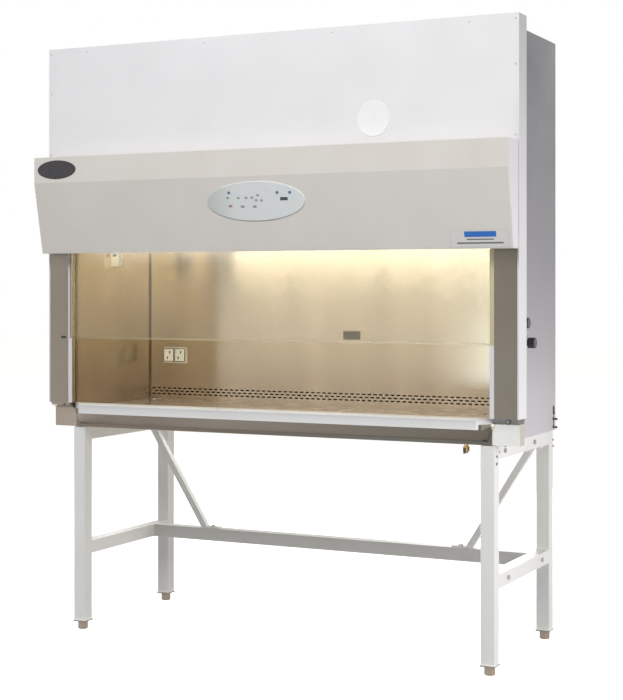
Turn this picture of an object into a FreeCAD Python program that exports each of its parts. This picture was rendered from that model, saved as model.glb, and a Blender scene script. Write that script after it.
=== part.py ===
import FreeCAD, Part
import math
import os

from FreeCAD import Vector

# Biological safety cabinet, class II, six-foot size, on an open tube stand.
# Millimetres. +X to the right of a person who sits at it, +Y to the rear, +Z up from the floor.
# A depth is measured rearwards from the plane of the white front frame.

# Overall sizes
FRAME_WIDTH = 1972.0
CABINET_TOP = 2321.0
BODY_BOTTOM = 810.0
BODY_DEPTH = 740.0
BODY_INSET = 97.0
COLUMN_DEPTH = 84.0
SHEET = 2.0
HALF_FRAME = FRAME_WIDTH / 2
HALF_BODY = HALF_FRAME - BODY_INSET
SLIP = 0.5
NO_LENGTH = 1e-6

# Hood over the controls
HOOD_REACH = 106.0
HOOD_TOP = 1879.0
HOOD_HEIGHT = 377.0
HOOD_BAND = 101.0
HOOD_FOOT_REACH = 50.0
HOOD_SIDE_GAP = 1.0
HOOD_REAR_GAP = 2.0
HOOD_EDGE_ROUND = 5.0
HOOD_LIP = 10.0
HALF_HOOD = HALF_FRAME - HOOD_SIDE_GAP
HOOD_BOTTOM = HOOD_TOP - HOOD_HEIGHT
HOOD_CREASE = HOOD_TOP - HOOD_BAND

# The origin is under the middle of the whole box, hood included
FRONT_PLANE_Y = -(BODY_DEPTH - HOOD_REACH) / 2

# Control panel on the slanted face
PANEL_LENGTH = 406.0
PANEL_HEIGHT = 147.0
PANEL_THICKNESS = 3.0
PANEL_ROUND = 1.2
PANEL_RISE = 184.0
PANEL_CENTRE_Z = HOOD_BOTTOM + PANEL_RISE

# Hood hinges
HINGE_COUNT = 3
HINGE_END_MARGIN = 185.0
HINGE_LENGTH = 80.0
HINGE_KNUCKLES = 3
HINGE_DEPTH = -5.0
HINGE_DROP = 4.0
KNUCKLE_RADIUS = 3.5
HINGE_PIN_RADIUS = 1.5
RUNNING_CLEARANCE = 0.06
LEAF_THICKNESS = 1.5
LEAF_HEIGHT = 40.0
KNUCKLE_GAP = 0.6
HINGE_Z = HOOD_TOP - HINGE_DROP
HINGE_SPACING = 2 * (HALF_HOOD - HINGE_END_MARGIN) / (HINGE_COUNT - 1)

# Stand
TUBE = 50.8
TUBE_WALL = 3.0
LEG_INSET = 29.0
LEG_CENTRE_X = HALF_BODY - LEG_INSET
FRONT_LEG_FACE = 29.0
REAR_LEG_SETBACK = 74.0
REAR_LEG_FACE = BODY_DEPTH - REAR_LEG_SETBACK
LOWER_RAIL_TOP = 351.0
CROSS_RAIL_SETBACK = 114.0
CROSS_RAIL_FACE = REAR_LEG_FACE - CROSS_RAIL_SETBACK
FOOT_GAP = 0.5
FOOT_RADIUS = 20.0
FOOT_HEIGHT = 31.5
FOOT_TAPER = 3.0
FOOT_STEM_RADIUS = 7.0
FOOT_STEM_LENGTH = 60.0
LEG_PLATE_RIM = 3.1
LEG_PLATE = TUBE + 2 * LEG_PLATE_RIM
LEG_PLATE_THICKNESS = 6.0
STEM_CLEARANCE = 0.3
BRACE = 25.0
BRACE_INSET = 13.0
BRACE_RUN = 255.0
BRACE_TOP_X = LEG_CENTRE_X - BRACE_INSET
BRACE_FOOT_X = BRACE_TOP_X - BRACE_RUN
BRACE_TAB = 6.0
BRACE_TAB_LENGTH = 70.0
BRACE_BOLT_SETBACK = BRACE_TAB_LENGTH / 3
BOLT_RADIUS = 5.0
BOLT_HEAD = 9.0
BOLT_HEAD_HEIGHT = 6.0
HEAD_SIDES = 6
BOLT_LENGTH = 14.0
BOLT_CLEARANCE = 0.2
SPARE_BOLT_DEPTH = 180.0
TOP_BOLT_DEPTH = 143.0
TOP_BOLT_SPACING = 340.0

# Front sill with its forward bay
SILL_FACE = 34.0
SILL_RETURN = 6.0
SILL_HEIGHT = 74.0
SILL_REAR = SILL_FACE + SILL_RETURN
SILL_BOTTOM = BODY_BOTTOM + SHEET
SILL_TOP = SILL_BOTTOM + SILL_HEIGHT
SILL_SIDE_GAP = 8.0
LEDGE_FACE = 5.0
LEDGE_RISE = 13.0
LEDGE_HEIGHT = 22.0
COLUMN_FOOT = SILL_TOP + LEDGE_HEIGHT
BAY_NOSE = -8.0
BAY_NOSE_HEIGHT = 20.0
BAY_FOOT_RISE = 12.0
BAY_TOP_INSET = 1.0
BAY_NOSE_INSET = 39.0
BAY_FOOT_INSET = 28.0
BAY_NOSE_BOTTOM = SILL_TOP - BAY_NOSE_HEIGHT
BAY_FOOT = SILL_BOTTOM + BAY_FOOT_RISE
BAY_TOP_HALF = HALF_BODY - BAY_TOP_INSET
BAY_NOSE_HALF = HALF_BODY - BAY_NOSE_INSET
BAY_FOOT_HALF = HALF_BODY - BAY_FOOT_INSET

# Armrest
ARMREST_RISE = 22.0
ARMREST_FACE = 40.0
ARMREST_NOSE = 7.0
ARMREST_INSET = 5.0
ARMREST_TOP = SILL_TOP + ARMREST_RISE
ARMREST_LIP = ARMREST_TOP - ARMREST_FACE
ARMREST_BACK = SILL_FACE + SHEET
ARMREST_HALF = HALF_BODY - ARMREST_INSET
ARMREST_ROUND = 9.0

# Work zone
LINER_GAP = 11.0
RETURN_DUCT = 150.0
CEILING_RISE = 44.0
TRAY_RISE = 4.0
WORK_HALF = HALF_BODY - LINER_GAP
REAR_WALL_DEPTH = BODY_DEPTH - RETURN_DUCT
CEILING = HOOD_BOTTOM + CEILING_RISE
WORK_SURFACE = SILL_TOP + TRAY_RISE
TRAY_FLANGE = 20.0
TRAY_SIDE_GAP = 4.0
TRAY_END_GAP = 2.0
LEDGE_WIDTH = 22.0
GRILLE_WIDTH = 66.0
GRILLE_END_MARGIN = 15.0
GRILLE_FRONT = SILL_REAR + SHEET + TRAY_END_GAP
GRILLE_REAR = GRILLE_FRONT + GRILLE_WIDTH
GRILLE_SLOT_LENGTH = 34.0
GRILLE_SLOT_WIDTH = 12.0
GRILLE_PITCH = 50.8
TRAY_KNOB_RADIUS = 7.0
TRAY_KNOB_HEIGHT = 4.0
TRAY_KNOB_INSET = 60.0
REAR_WALL_BOTTOM = WORK_SURFACE - TRAY_FLANGE + SHEET
SLOT_LENGTH = 16.0
SLOT_HEIGHT = 5.5
SLOT_PITCH = 25.4
SLOT_END_MARGIN = 12.0
SLOT_ROW_COUNT = 3
SLOT_ROW_PITCH = 12.5
SLOT_ROW_RISE = 20.0

# Sash
SASH_OPENING = 254.0
SASH_CLOSED_GAP = 1.0
GLASS_THICKNESS = 6.0
GLASS_DEPTH = 27.0
GLASS_HEIGHT = 684.0
GLASS_BITE = 8.0
EDGE_STRIP = 6.0
EDGE_STRIP_WALL = 1.5
GUIDE_WIDTH = 16.0
GUIDE_WALL = 5.0
GUIDE_TOP_GAP = 90.0
GLASS_CLEARANCE = 0.8
CLAMP_WIDTH = 24.0
CLAMP_HEIGHT = 44.0
CLAMP_DROP = 30.0
CLAMP_PLATE = 3.0
CLAMP_GAP = 6.0
ARM_CLEARANCE = 2.0
LUG = 10.0
LUG_DEPTH = 8.0
STRIP_BOTTOM = ARMREST_TOP + SASH_OPENING + SASH_CLOSED_GAP
GLASS_BOTTOM = STRIP_BOTTOM + EDGE_STRIP_WALL
GLASS_TOP = GLASS_BOTTOM + GLASS_HEIGHT
ARM_TOP = GLASS_TOP - CLAMP_DROP + CLAMP_HEIGHT
GUIDE_BACK = GLASS_DEPTH + GLASS_THICKNESS + GUIDE_WALL
ARM_DEPTH = GUIDE_BACK + ARM_CLEARANCE

# Columns, pulleys and counterweights
FRAME_LIP = 6.0
POST_GAP = 1.0
PULLEY_INSET = 58.0
PULLEY_DROP = 71.0
POST_INNER_X = WORK_HALF + GUIDE_WIDTH + POST_GAP
PULLEY_X = HALF_FRAME - PULLEY_INSET
PULLEY_Z = CABINET_TOP - PULLEY_DROP
GUIDE_TOP = PULLEY_Z - GUIDE_TOP_GAP
PULLEY_DEPTH = 44.0
PULLEY_PITCH_RADIUS = 20.0
PULLEY_RIM_RADIUS = 23.0
PULLEY_WIDTH = 10.0
PULLEY_GROOVE_HALF = 2.6
CABLE_RADIUS = 1.5
CABLE_GAP = 0.2
AXLE_RADIUS = 4.0
BRACKET_PLATE = 2.5
BRACKET_GAP = 16.0
BRACKET_HEIGHT = 30.0
BRACKET_REACH = 12.0
WEIGHT_WIDTH = 48.0
WEIGHT_DEPTH = 60.0
WEIGHT_HEIGHT = 468.75
WEIGHT_TOP_GAP = 56.0
WEIGHT_TOP = PULLEY_Z - SASH_OPENING - WEIGHT_TOP_GAP
WEIGHT_ROUND = 6.0

# White front panel, its round cap and the post covers
FRONT_PANEL_LAP = 98.0
FRONT_PANEL_BOTTOM = HOOD_BOTTOM + FRONT_PANEL_LAP
CAP_X = 435.7
CAP_RISE = 99.0
CAP_Z = HOOD_TOP + CAP_RISE
CAP_RADIUS = 64.0
CAP_THICKNESS = 2.0
CAP_RIM = 10.0
CAP_HOLE_RADIUS = CAP_RADIUS - CAP_RIM
CAP_HOLE_CLEARANCE = 0.5
CAP_SCREW_RADIUS = 5.0
CAP_SCREW_HEIGHT = 2.0

# Plenum, filters and diffuser
LUG_CLEARANCE = 2.0
DIFFUSER_HEM = 10.0
PLENUM_LEDGE = 20.0
SUPPLY_CHAMBER = 142.0
PLENUM_FRONT = ARM_DEPTH + LUG_DEPTH + LUG_CLEARANCE
PLENUM_FOOT = CEILING + DIFFUSER_HEM
SHELF_Z = PLENUM_FOOT + SUPPLY_CHAMBER
RETURN_WINDOW_HALF = 300.0
RETURN_WINDOW_RISE = 62.0
RETURN_WINDOW_HEIGHT = 360.0
DIFFUSER_END_MARGIN = 45.0
DIFFUSER_SLOT_WIDTH = 24.0
DIFFUSER_PITCH = 58.0
DIFFUSER_MARGIN = 60.0
FILTER_HEIGHT = 100.0
FILTER_BOARD = 12.0
FILTER_RECESS = 8.0
FILTER_SIDE_GAP = 14.0
PLEAT_THICKNESS = 2.0
PLEAT_PITCH = 61.5
EXHAUST_HALF_WIDTH = 320.0
EXHAUST_FRONT_GAP = 70.0
EXHAUST_REAR_GAP = 30.0
EXHAUST_FRONT = PLENUM_FRONT + EXHAUST_FRONT_GAP
EXHAUST_REAR = REAR_WALL_DEPTH - EXHAUST_REAR_GAP
EXHAUST_RIM = 22.0
GUARD_RIM = 12.0
GUARD_HEIGHT = 16.0
GUARD_END_MARGIN = 28.0
GUARD_SLOT_WIDTH = 34.0
GUARD_PITCH = 48.0
GUARD_MARGIN = 30.0

# Blower
BLOWER_DEPTH = (PLENUM_FRONT + REAR_WALL_DEPTH) / 2
BLOWER_RISE = 257.0
BLOWER_Z = SHELF_Z + BLOWER_RISE
BLOWER_HALF_WIDTH = 150.0
VOLUTE_GAP = 20.0
VOLUTE_GROWTH = 20.0
TONGUE_ANGLE = -45.0
INLET_LAP = 4.0
OUTLET_FLANGE = 18.0
WHEEL_RADIUS = 115.0
BLADE_CHORD = 21.0
WHEEL_SIDE_GAP = 20.0
WHEEL_INNER_RADIUS = WHEEL_RADIUS - BLADE_CHORD
WHEEL_HALF_WIDTH = BLOWER_HALF_WIDTH - WHEEL_SIDE_GAP
VOLUTE_RADIUS = WHEEL_RADIUS + VOLUTE_GAP
INLET_RADIUS = WHEEL_INNER_RADIUS + INLET_LAP
WHEEL_RING = 6.0
WHEEL_BLADES = 24
BLADE_THICKNESS = 2.0
BLADE_LEAN = 14.0
HUB_RADIUS = 22.0
HUB_HALF_WIDTH = 25.0
SHAFT_RADIUS = 8.0
SHAFT_LEFT_END = -40.0
MOTOR_GAP = 22.0
MOTOR_LEFT = BLOWER_HALF_WIDTH + MOTOR_GAP
MOTOR_LENGTH = 170.0
MOTOR_RADIUS = 72.0
MOTOR_BORE_DEPTH = 60.0
MOTOR_FINS = 8
MOTOR_FIN = 6.0
MOTOR_FIN_THICKNESS = 4.0
MOTOR_STAND_WIDTH = 90.0
MOTOR_STAND_THICKNESS = 6.0
MOTOR_BASE_LENGTH = 160.0

# Lamps under the hood
LAMP_RADIUS = 13.0
LAMP_STAND_OFF = 8.0
LAMP_DROP = 26.0
LAMP_GAP = 60.0
LAMP_HOLDER = 14.0
LAMP_END_MARGIN = 8.0
FIXTURE_SHEET = 1.5
FIXTURE_SIDE_GAP = 6.0
FIXTURE_RISE = 90.0
FIXTURE_BRIM_DROP = 8.0
FIXTURE_HALF = WORK_HALF - FIXTURE_SIDE_GAP
FIXTURE_TOP = FRONT_PANEL_BOTTOM + FIXTURE_RISE
FIXTURE_BRIM = FRONT_PANEL_BOTTOM - FIXTURE_BRIM_DROP
LAMP_DEPTH = -LAMP_RADIUS - LAMP_STAND_OFF
LAMP_Z = FIXTURE_BRIM - LAMP_DROP
LAMP_LENGTH = FIXTURE_HALF - LAMP_END_MARGIN - LAMP_HOLDER - LAMP_GAP / 2

# Fittings in the work zone
OUTLET_FROM_WALL = 129.0
OUTLET_RISE = 188.0
OUTLET_X = OUTLET_FROM_WALL - WORK_HALF
OUTLET_Z = WORK_SURFACE + OUTLET_RISE
OUTLET_LENGTH = 117.0
OUTLET_HEIGHT = 70.0
OUTLET_THICKNESS = 6.0
COVER_LENGTH = 46.0
COVER_HEIGHT = 56.0
COVER_THICKNESS = 9.0
COVER_OFFSET = 27.0
COVER_GAP = 0.4
COVER_WALL = 1.6
COVER_PIN_RADIUS = 1.5
COVER_PIN_STAND_OFF = 2.5 * COVER_PIN_RADIUS
VENT_X = 80.5
VENT_RISE = 283.0
VENT_Z = WORK_SURFACE + VENT_RISE
VENT_LENGTH = 71.0
VENT_HEIGHT = 34.0
VENT_THICKNESS = 6.0
VENT_RIBS = 7
VENT_RIM = 4.0
SOCKET_DEPTH = 305.0
SOCKET_DROP = 57.0
SOCKET_Z = CEILING - SOCKET_DROP
SOCKET_LENGTH = 38.0
SOCKET_HEIGHT = 67.0
SOCKET_REACH = 34.0
SOCKET_BORE_RADIUS = 14.0
SOCKET_BORE_DEPTH = 22.0
SOCKET_ROUND = 5.0

# Service valve knobs on the right side
UPPER_KNOB_DEPTH = 300.0
UPPER_KNOB_Z = 1237.0
KNOB_STEP_BACK = 75.0
KNOB_STEP_DOWN = 75.0
KNOB_RADIUS = 20.0
KNOB_LENGTH = 26.0
KNOB_STAND_OFF = 10.0
KNOB_GRIPS = 8
KNOB_GRIP_RADIUS = 5.0
KNOB_STEM_RADIUS = 5.0
KNOB_STEM_CLEARANCE = 0.3
KNOB_STEM_TAIL = 4.0
COLLAR_RADIUS = 12.0
COLLAR_LENGTH = 6.0

# Drain valve under the pan
DRAIN_FROM_WALL = 109.0
DRAIN_X = WORK_HALF - DRAIN_FROM_WALL
DRAIN_DEPTH = 62.0
DRAIN_NIPPLE_RADIUS = 8.0
DRAIN_NIPPLE_LENGTH = 9.0
DRAIN_BODY_RADIUS = 12.0
DRAIN_BODY_LENGTH = 16.0
DRAIN_SPOUT_LENGTH = 7.0
DRAIN_BORE_RADIUS = 5.0
DRAIN_STEM_RADIUS = 3.0
DRAIN_LEVER_LENGTH = 16.0
DRAIN_LEVER_WIDTH = 9.0
DRAIN_LEVER_THICKNESS = 3.0
DRAIN_LEVER_OFFSET = 16.0


def y_at(depth):
    return FRONT_PLANE_Y + depth


def box(x, depth, z):
    """A block between pairs of x, depth and z."""
    corner = Vector(min(x), y_at(min(depth)), min(z))
    return Part.makeBox(abs(x[1] - x[0]), abs(depth[1] - depth[0]), abs(z[1] - z[0]), corner)


def both_sides(shape):
    return Part.makeCompound([shape, mirrored(shape)])


def mirrored(shape):
    return shape.mirror(Vector(0, 0, 0), Vector(1, 0, 0))


def fused(shapes):
    first, rest = shapes[0], shapes[1:]
    return first.fuse(rest).removeSplitter() if rest else first


def prism_x(points, x):
    """A (depth, z) outline drawn out from x[0] to x[1]."""
    corners = [Vector(x[0], y_at(depth), z) for depth, z in points]
    face = Part.Face(Part.makePolygon(corners + corners[:1]))
    return face.extrude(Vector(x[1] - x[0], 0, 0))


def prism_z(points, z):
    """An (x, depth) outline drawn out from z[0] to z[1]."""
    corners = [Vector(x, y_at(depth), z[0]) for x, depth in points]
    face = Part.Face(Part.makePolygon(corners + corners[:1]))
    return face.extrude(Vector(0, 0, z[1] - z[0]))


def rod_x(radius, x, depth, z):
    return Part.makeCylinder(radius, x[1] - x[0], Vector(x[0], y_at(depth), z), Vector(1, 0, 0))


def rod_y(radius, x, depth, z):
    start = Vector(x, y_at(depth[0]), z)
    return Part.makeCylinder(radius, depth[1] - depth[0], start, Vector(0, 1, 0))


def rod_z(radius, x, depth, z):
    return Part.makeCylinder(radius, z[1] - z[0], Vector(x, y_at(depth), z[0]), Vector(0, 0, 1))


def solid_from_faces(corner_lists):
    """A closed body from flat faces, each a list of points in order."""
    faces = [Part.Face(Part.makePolygon(list(c) + [c[0]])) for c in corner_lists]
    return Part.makeSolid(Part.makeShell(faces))


def edges_along(shape, axis, wanted):
    """Straight edges parallel to axis whose middle passes the wanted test."""
    found = []
    for edge in shape.Edges:
        if edge.Curve.TypeId != "Part::GeomLine":
            continue
        if edge.Curve.Direction.cross(axis).Length < NO_LENGTH and wanted(edge.CenterOfMass):
            found.append(edge)
    return found


def slot_places(half_run, slot, pitch):
    """Centres of as many slots as fit between -half_run and half_run."""
    count = int((2 * half_run - slot) / pitch) + 1
    return [pitch * (i - (count - 1) / 2) for i in range(count)]


# Stand

def leg(side, face):
    x = side * LEG_CENTRE_X
    half = TUBE / 2
    inner = half - TUBE_WALL
    middle = face + half
    foot_plane = FOOT_HEIGHT + FOOT_GAP
    tube = box((x - half, x + half), (face, face + TUBE), (foot_plane, BODY_BOTTOM))
    bore = box((x - inner, x + inner), (middle - inner, middle + inner),
               (foot_plane + LEG_PLATE_THICKNESS, BODY_BOTTOM))
    flange = LEG_PLATE / 2
    plate = box((x - flange, x + flange), (middle - flange, middle + flange),
                (foot_plane, foot_plane + LEG_PLATE_THICKNESS))
    stem_hole = rod_z(FOOT_STEM_RADIUS + STEM_CLEARANCE, x, middle,
                      (foot_plane, foot_plane + LEG_PLATE_THICKNESS))
    return fused([tube, plate]).cut(bore).cut(stem_hole)


def levelling_foot(side, face):
    x = side * LEG_CENTRE_X
    middle = face + TUBE / 2
    pad = rod_z(FOOT_RADIUS, x, middle, (0, FOOT_HEIGHT))
    floor_ring = [e for e in pad.Edges if e.CenterOfMass.z < SLIP]
    pad = pad.makeChamfer(FOOT_TAPER, floor_ring)
    stem = rod_z(FOOT_STEM_RADIUS, x, middle, (FOOT_HEIGHT, FOOT_HEIGHT + FOOT_STEM_LENGTH))
    return fused([pad, stem])


def bolt_hole(x, depth, z):
    """A hole through the outer wall of a side rail."""
    return rod_x(BOLT_RADIUS + BOLT_CLEARANCE, (x - TUBE_WALL, x), depth, z)


def side_rail(top, bolt_depths):
    x_in = LEG_CENTRE_X - TUBE / 2
    x_out = LEG_CENTRE_X + TUBE / 2
    depth = (FRONT_LEG_FACE + TUBE, REAR_LEG_FACE)
    rail = box((x_in, x_out), depth, (top - TUBE, top))
    bore = box((x_in + TUBE_WALL, x_out - TUBE_WALL), depth, (top - TUBE + TUBE_WALL, top - TUBE_WALL))
    rail = rail.cut(bore)
    for bolt_depth in bolt_depths:
        rail = rail.cut(bolt_hole(x_out, bolt_depth, top - TUBE / 2))
    return rail


def lower_bolt_depths():
    return (SPARE_BOLT_DEPTH, CROSS_RAIL_FACE + TUBE / 2)


def top_bolt_depths():
    return (TOP_BOLT_DEPTH, TOP_BOLT_DEPTH + TOP_BOLT_SPACING)


def cross_rail():
    half = LEG_CENTRE_X - TUBE / 2
    depth = (CROSS_RAIL_FACE, CROSS_RAIL_FACE + TUBE)
    rail = box((-half, half), depth, (LOWER_RAIL_TOP - TUBE, LOWER_RAIL_TOP))
    bore = box((-half, half), (depth[0] + TUBE_WALL, depth[1] - TUBE_WALL),
               (LOWER_RAIL_TOP - TUBE + TUBE_WALL, LOWER_RAIL_TOP - TUBE_WALL))
    rail = rail.cut(bore)
    for side in (-1, 1):
        rail = rail.cut(rod_z(BOLT_RADIUS + BOLT_CLEARANCE, side * brace_bolt_x(),
                              CROSS_RAIL_FACE + TUBE / 2, (LOWER_RAIL_TOP - TUBE_WALL, LOWER_RAIL_TOP)))
    return rail


def brace_bolt_x():
    return BRACE_FOOT_X - BRACE / 2 - BRACE_BOLT_SETBACK


def brace():
    """A slanted bar from the underside of the top rail to the top of the cross rail, with end tabs."""
    top = BODY_BOTTOM - TUBE
    foot = LOWER_RAIL_TOP
    rise = top - foot
    run = BRACE_TOP_X - BRACE_FOOT_X
    half_cut = BRACE / 2 * math.hypot(rise, run) / rise
    y0 = y_at(CROSS_RAIL_FACE + TUBE / 2 - BRACE / 2)
    corners = [Vector(BRACE_FOOT_X - half_cut, y0, foot), Vector(BRACE_FOOT_X + half_cut, y0, foot),
               Vector(BRACE_TOP_X + half_cut, y0, top), Vector(BRACE_TOP_X - half_cut, y0, top)]
    bar = Part.Face(Part.makePolygon(corners + corners[:1])).extrude(Vector(0, BRACE, 0))
    depth = (CROSS_RAIL_FACE + TUBE / 2 - BRACE / 2, CROSS_RAIL_FACE + TUBE / 2 + BRACE / 2)
    foot_tab = box((BRACE_FOOT_X - BRACE_TAB_LENGTH, BRACE_FOOT_X), depth, (foot, foot + BRACE_TAB))
    foot_tab = foot_tab.cut(rod_z(BOLT_RADIUS + BOLT_CLEARANCE, brace_bolt_x(),
                                  CROSS_RAIL_FACE + TUBE / 2, (foot, foot + BRACE_TAB)))
    rail_inner = LEG_CENTRE_X - TUBE / 2
    top_tab = box((BRACE_TOP_X, rail_inner + TUBE), depth, (top - BRACE_TAB, top))
    return fused([bar, foot_tab, top_tab])


def hex_head(centre, direction):
    """A hexagonal head that stands on a face at centre and points along direction."""
    across = Vector(1, 0, 0) if direction.z else Vector(0, 0, 1)
    side = direction.cross(across)
    corners = []
    for i in range(HEAD_SIDES):
        turn = 2 * math.pi * i / HEAD_SIDES
        corners.append(centre + (across * math.cos(turn) + side * math.sin(turn)) * BOLT_HEAD)
    return Part.Face(Part.makePolygon(corners + corners[:1])).extrude(direction * BOLT_HEAD_HEIGHT)


def bolt(seat, direction, length):
    head = hex_head(seat, direction)
    shank = Part.makeCylinder(BOLT_RADIUS, length, seat, direction * -1)
    return fused([head, shank])


def stand_bolts():
    x_out = LEG_CENTRE_X + TUBE / 2
    bolts = []
    for side in (-1, 1):
        out = Vector(side, 0, 0)
        for depth in lower_bolt_depths():
            seat = Vector(side * x_out, y_at(depth), LOWER_RAIL_TOP - TUBE / 2)
            bolts.append(bolt(seat, out, BOLT_LENGTH))
        for depth in top_bolt_depths():
            seat = Vector(side * x_out, y_at(depth), BODY_BOTTOM - TUBE / 2)
            bolts.append(bolt(seat, out, BOLT_LENGTH))
        seat = Vector(side * brace_bolt_x(), y_at(CROSS_RAIL_FACE + TUBE / 2), LOWER_RAIL_TOP + BRACE_TAB)
        bolts.append(bolt(seat, Vector(0, 0, 1), BOLT_LENGTH))
    return Part.makeCompound(bolts)


# Base

def base_pan():
    half = HALF_BODY - SHEET - SLIP
    rear = BODY_DEPTH - SHEET - SLIP
    floor = box((-half, half), (SILL_REAR, rear), (BODY_BOTTOM, BODY_BOTTOM + SHEET))
    upstand = box((-half, half), (SILL_REAR, SILL_REAR + SHEET), (BODY_BOTTOM, SILL_TOP))
    drain = rod_z(DRAIN_BORE_RADIUS, DRAIN_X, DRAIN_DEPTH, (BODY_BOTTOM, BODY_BOTTOM + SHEET))
    return fused([floor, upstand]).cut(drain)


def bay(inset):
    """The forward bay as a closed body, drawn in by inset on every face but its back."""
    nose = y_at(BAY_NOSE + inset)
    back = y_at(SILL_FACE + (SHEET if inset else 0))
    top = SILL_TOP - inset
    nose_bottom = BAY_NOSE_BOTTOM + inset / 2
    foot = BAY_FOOT + inset
    top_half = BAY_TOP_HALF - inset
    nose_half = BAY_NOSE_HALF - inset
    foot_half = BAY_FOOT_HALF - inset

    def ends(side):
        return (Vector(side * top_half, back, top), Vector(side * nose_half, nose, top),
                Vector(side * nose_half, nose, nose_bottom), Vector(side * foot_half, back, foot))

    left_top, left_nose, left_under, left_foot = ends(-1)
    right_top, right_nose, right_under, right_foot = ends(1)
    return solid_from_faces([
        (left_top, right_top, right_nose, left_nose),
        (left_nose, right_nose, right_under, left_under),
        (left_under, right_under, right_foot, left_foot),
        (left_top, left_foot, right_foot, right_top),
        (left_top, left_nose, left_under), (left_top, left_under, left_foot),
        (right_top, right_under, right_nose), (right_top, right_foot, right_under)])


def end_block():
    """The block under one column: a folded box with a dark undercut ledge on its front."""
    inner_x = HALF_BODY
    outer_x = HALF_FRAME - SILL_SIDE_GAP
    ledge_low = SILL_TOP
    outline = [(SILL_FACE, SILL_BOTTOM), (SILL_FACE, ledge_low), (LEDGE_FACE, ledge_low + LEDGE_RISE),
               (LEDGE_FACE, COLUMN_FOOT), (COLUMN_DEPTH, COLUMN_FOOT), (COLUMN_DEPTH, SILL_BOTTOM)]
    inside_top = COLUMN_FOOT - SHEET
    hollow = [(SILL_FACE + SHEET, SILL_BOTTOM), (SILL_FACE + SHEET, ledge_low + SHEET),
              (LEDGE_FACE + SHEET, ledge_low + LEDGE_RISE + SHEET), (LEDGE_FACE + SHEET, inside_top),
              (COLUMN_DEPTH - SHEET, inside_top), (COLUMN_DEPTH - SHEET, SILL_BOTTOM)]
    outer = prism_x(outline, (inner_x, outer_x))
    return outer.cut(prism_x(hollow, (inner_x + SHEET, outer_x - SHEET)))


def front_sill():
    half = HALF_BODY
    face = box((-half, half), (SILL_FACE, SILL_FACE + SHEET), (SILL_BOTTOM, SILL_TOP))
    foot = box((-half, half), (SILL_FACE, SILL_REAR), (SILL_BOTTOM, SILL_BOTTOM + SHEET))
    head = box((-half, half), (SILL_FACE, SILL_REAR), (SILL_TOP - SHEET, SILL_TOP))
    block = end_block()
    skin = fused([face, foot, head, bay(0), block, mirrored(block)])
    return skin.cut(bay(SHEET))


def armrest():
    back = ARMREST_BACK
    nose = BAY_NOSE - ARMREST_NOSE
    seat = SILL_TOP
    outline = [(back, seat), (back, ARMREST_TOP), (nose, ARMREST_TOP), (nose, ARMREST_LIP),
               (BAY_NOSE, ARMREST_LIP), (BAY_NOSE, seat)]
    bar = prism_x(outline, (-ARMREST_HALF, ARMREST_HALF))
    nose_y = y_at(nose)
    along = Vector(1, 0, 0)
    rounds = edges_along(bar, along, lambda p: abs(p.y - nose_y) < SLIP and p.z > seat)
    bar = bar.makeFillet(ARMREST_ROUND, rounds)
    bevel = back - nose
    for side in (-1, 1):
        tip = side * ARMREST_HALF
        corner = [(tip, back), (tip - side * bevel, nose), (tip - side * bevel, nose - bevel),
                  (tip + side * bevel, nose - bevel), (tip + side * bevel, back)]
        bar = bar.cut(prism_z(corner, (ARMREST_LIP, ARMREST_TOP)))
    return bar


def tray(front, rear):
    """A lift-out plate with turned-down flanges that rest on the side ledges."""
    half = WORK_HALF - TRAY_SIDE_GAP
    plate = box((-half, half), (front, rear), (WORK_SURFACE - TRAY_FLANGE, WORK_SURFACE))
    hollow = box((-half + SHEET, half - SHEET), (front + SHEET, rear - SHEET),
                 (WORK_SURFACE - TRAY_FLANGE, WORK_SURFACE - SHEET))
    return plate.cut(hollow)


def front_grille():
    plate = tray(GRILLE_FRONT, GRILLE_REAR)
    middle = (GRILLE_FRONT + GRILLE_REAR) / 2
    depth = (middle - GRILLE_SLOT_WIDTH / 2, middle + GRILLE_SLOT_WIDTH / 2)
    half_run = WORK_HALF - TRAY_SIDE_GAP - GRILLE_END_MARGIN
    slots = [box((x - GRILLE_SLOT_LENGTH / 2, x + GRILLE_SLOT_LENGTH / 2), depth,
                 (WORK_SURFACE - SHEET, WORK_SURFACE))
             for x in slot_places(half_run, GRILLE_SLOT_LENGTH, GRILLE_PITCH)]
    return plate.cut(Part.makeCompound(slots))


def work_surface():
    rear = REAR_WALL_DEPTH - TRAY_END_GAP
    plate = tray(GRILLE_REAR + TRAY_END_GAP, rear)
    knobs = [rod_z(TRAY_KNOB_RADIUS, side * (WORK_HALF - TRAY_KNOB_INSET), rear - TRAY_KNOB_INSET,
                   (WORK_SURFACE, WORK_SURFACE + TRAY_KNOB_HEIGHT)) for side in (-1, 1)]
    return fused([plate] + knobs)


# Work zone

def inner_side_wall():
    wall = box((WORK_HALF, WORK_HALF + SHEET), (SILL_REAR + SHEET, REAR_WALL_DEPTH),
               (BODY_BOTTOM + SHEET, CEILING))
    ledge_top = WORK_SURFACE - TRAY_FLANGE
    ledge = box((WORK_HALF - LEDGE_WIDTH, WORK_HALF), (SILL_REAR + SHEET, REAR_WALL_DEPTH),
                (ledge_top - SHEET, ledge_top))
    return fused([wall, ledge])


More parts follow.
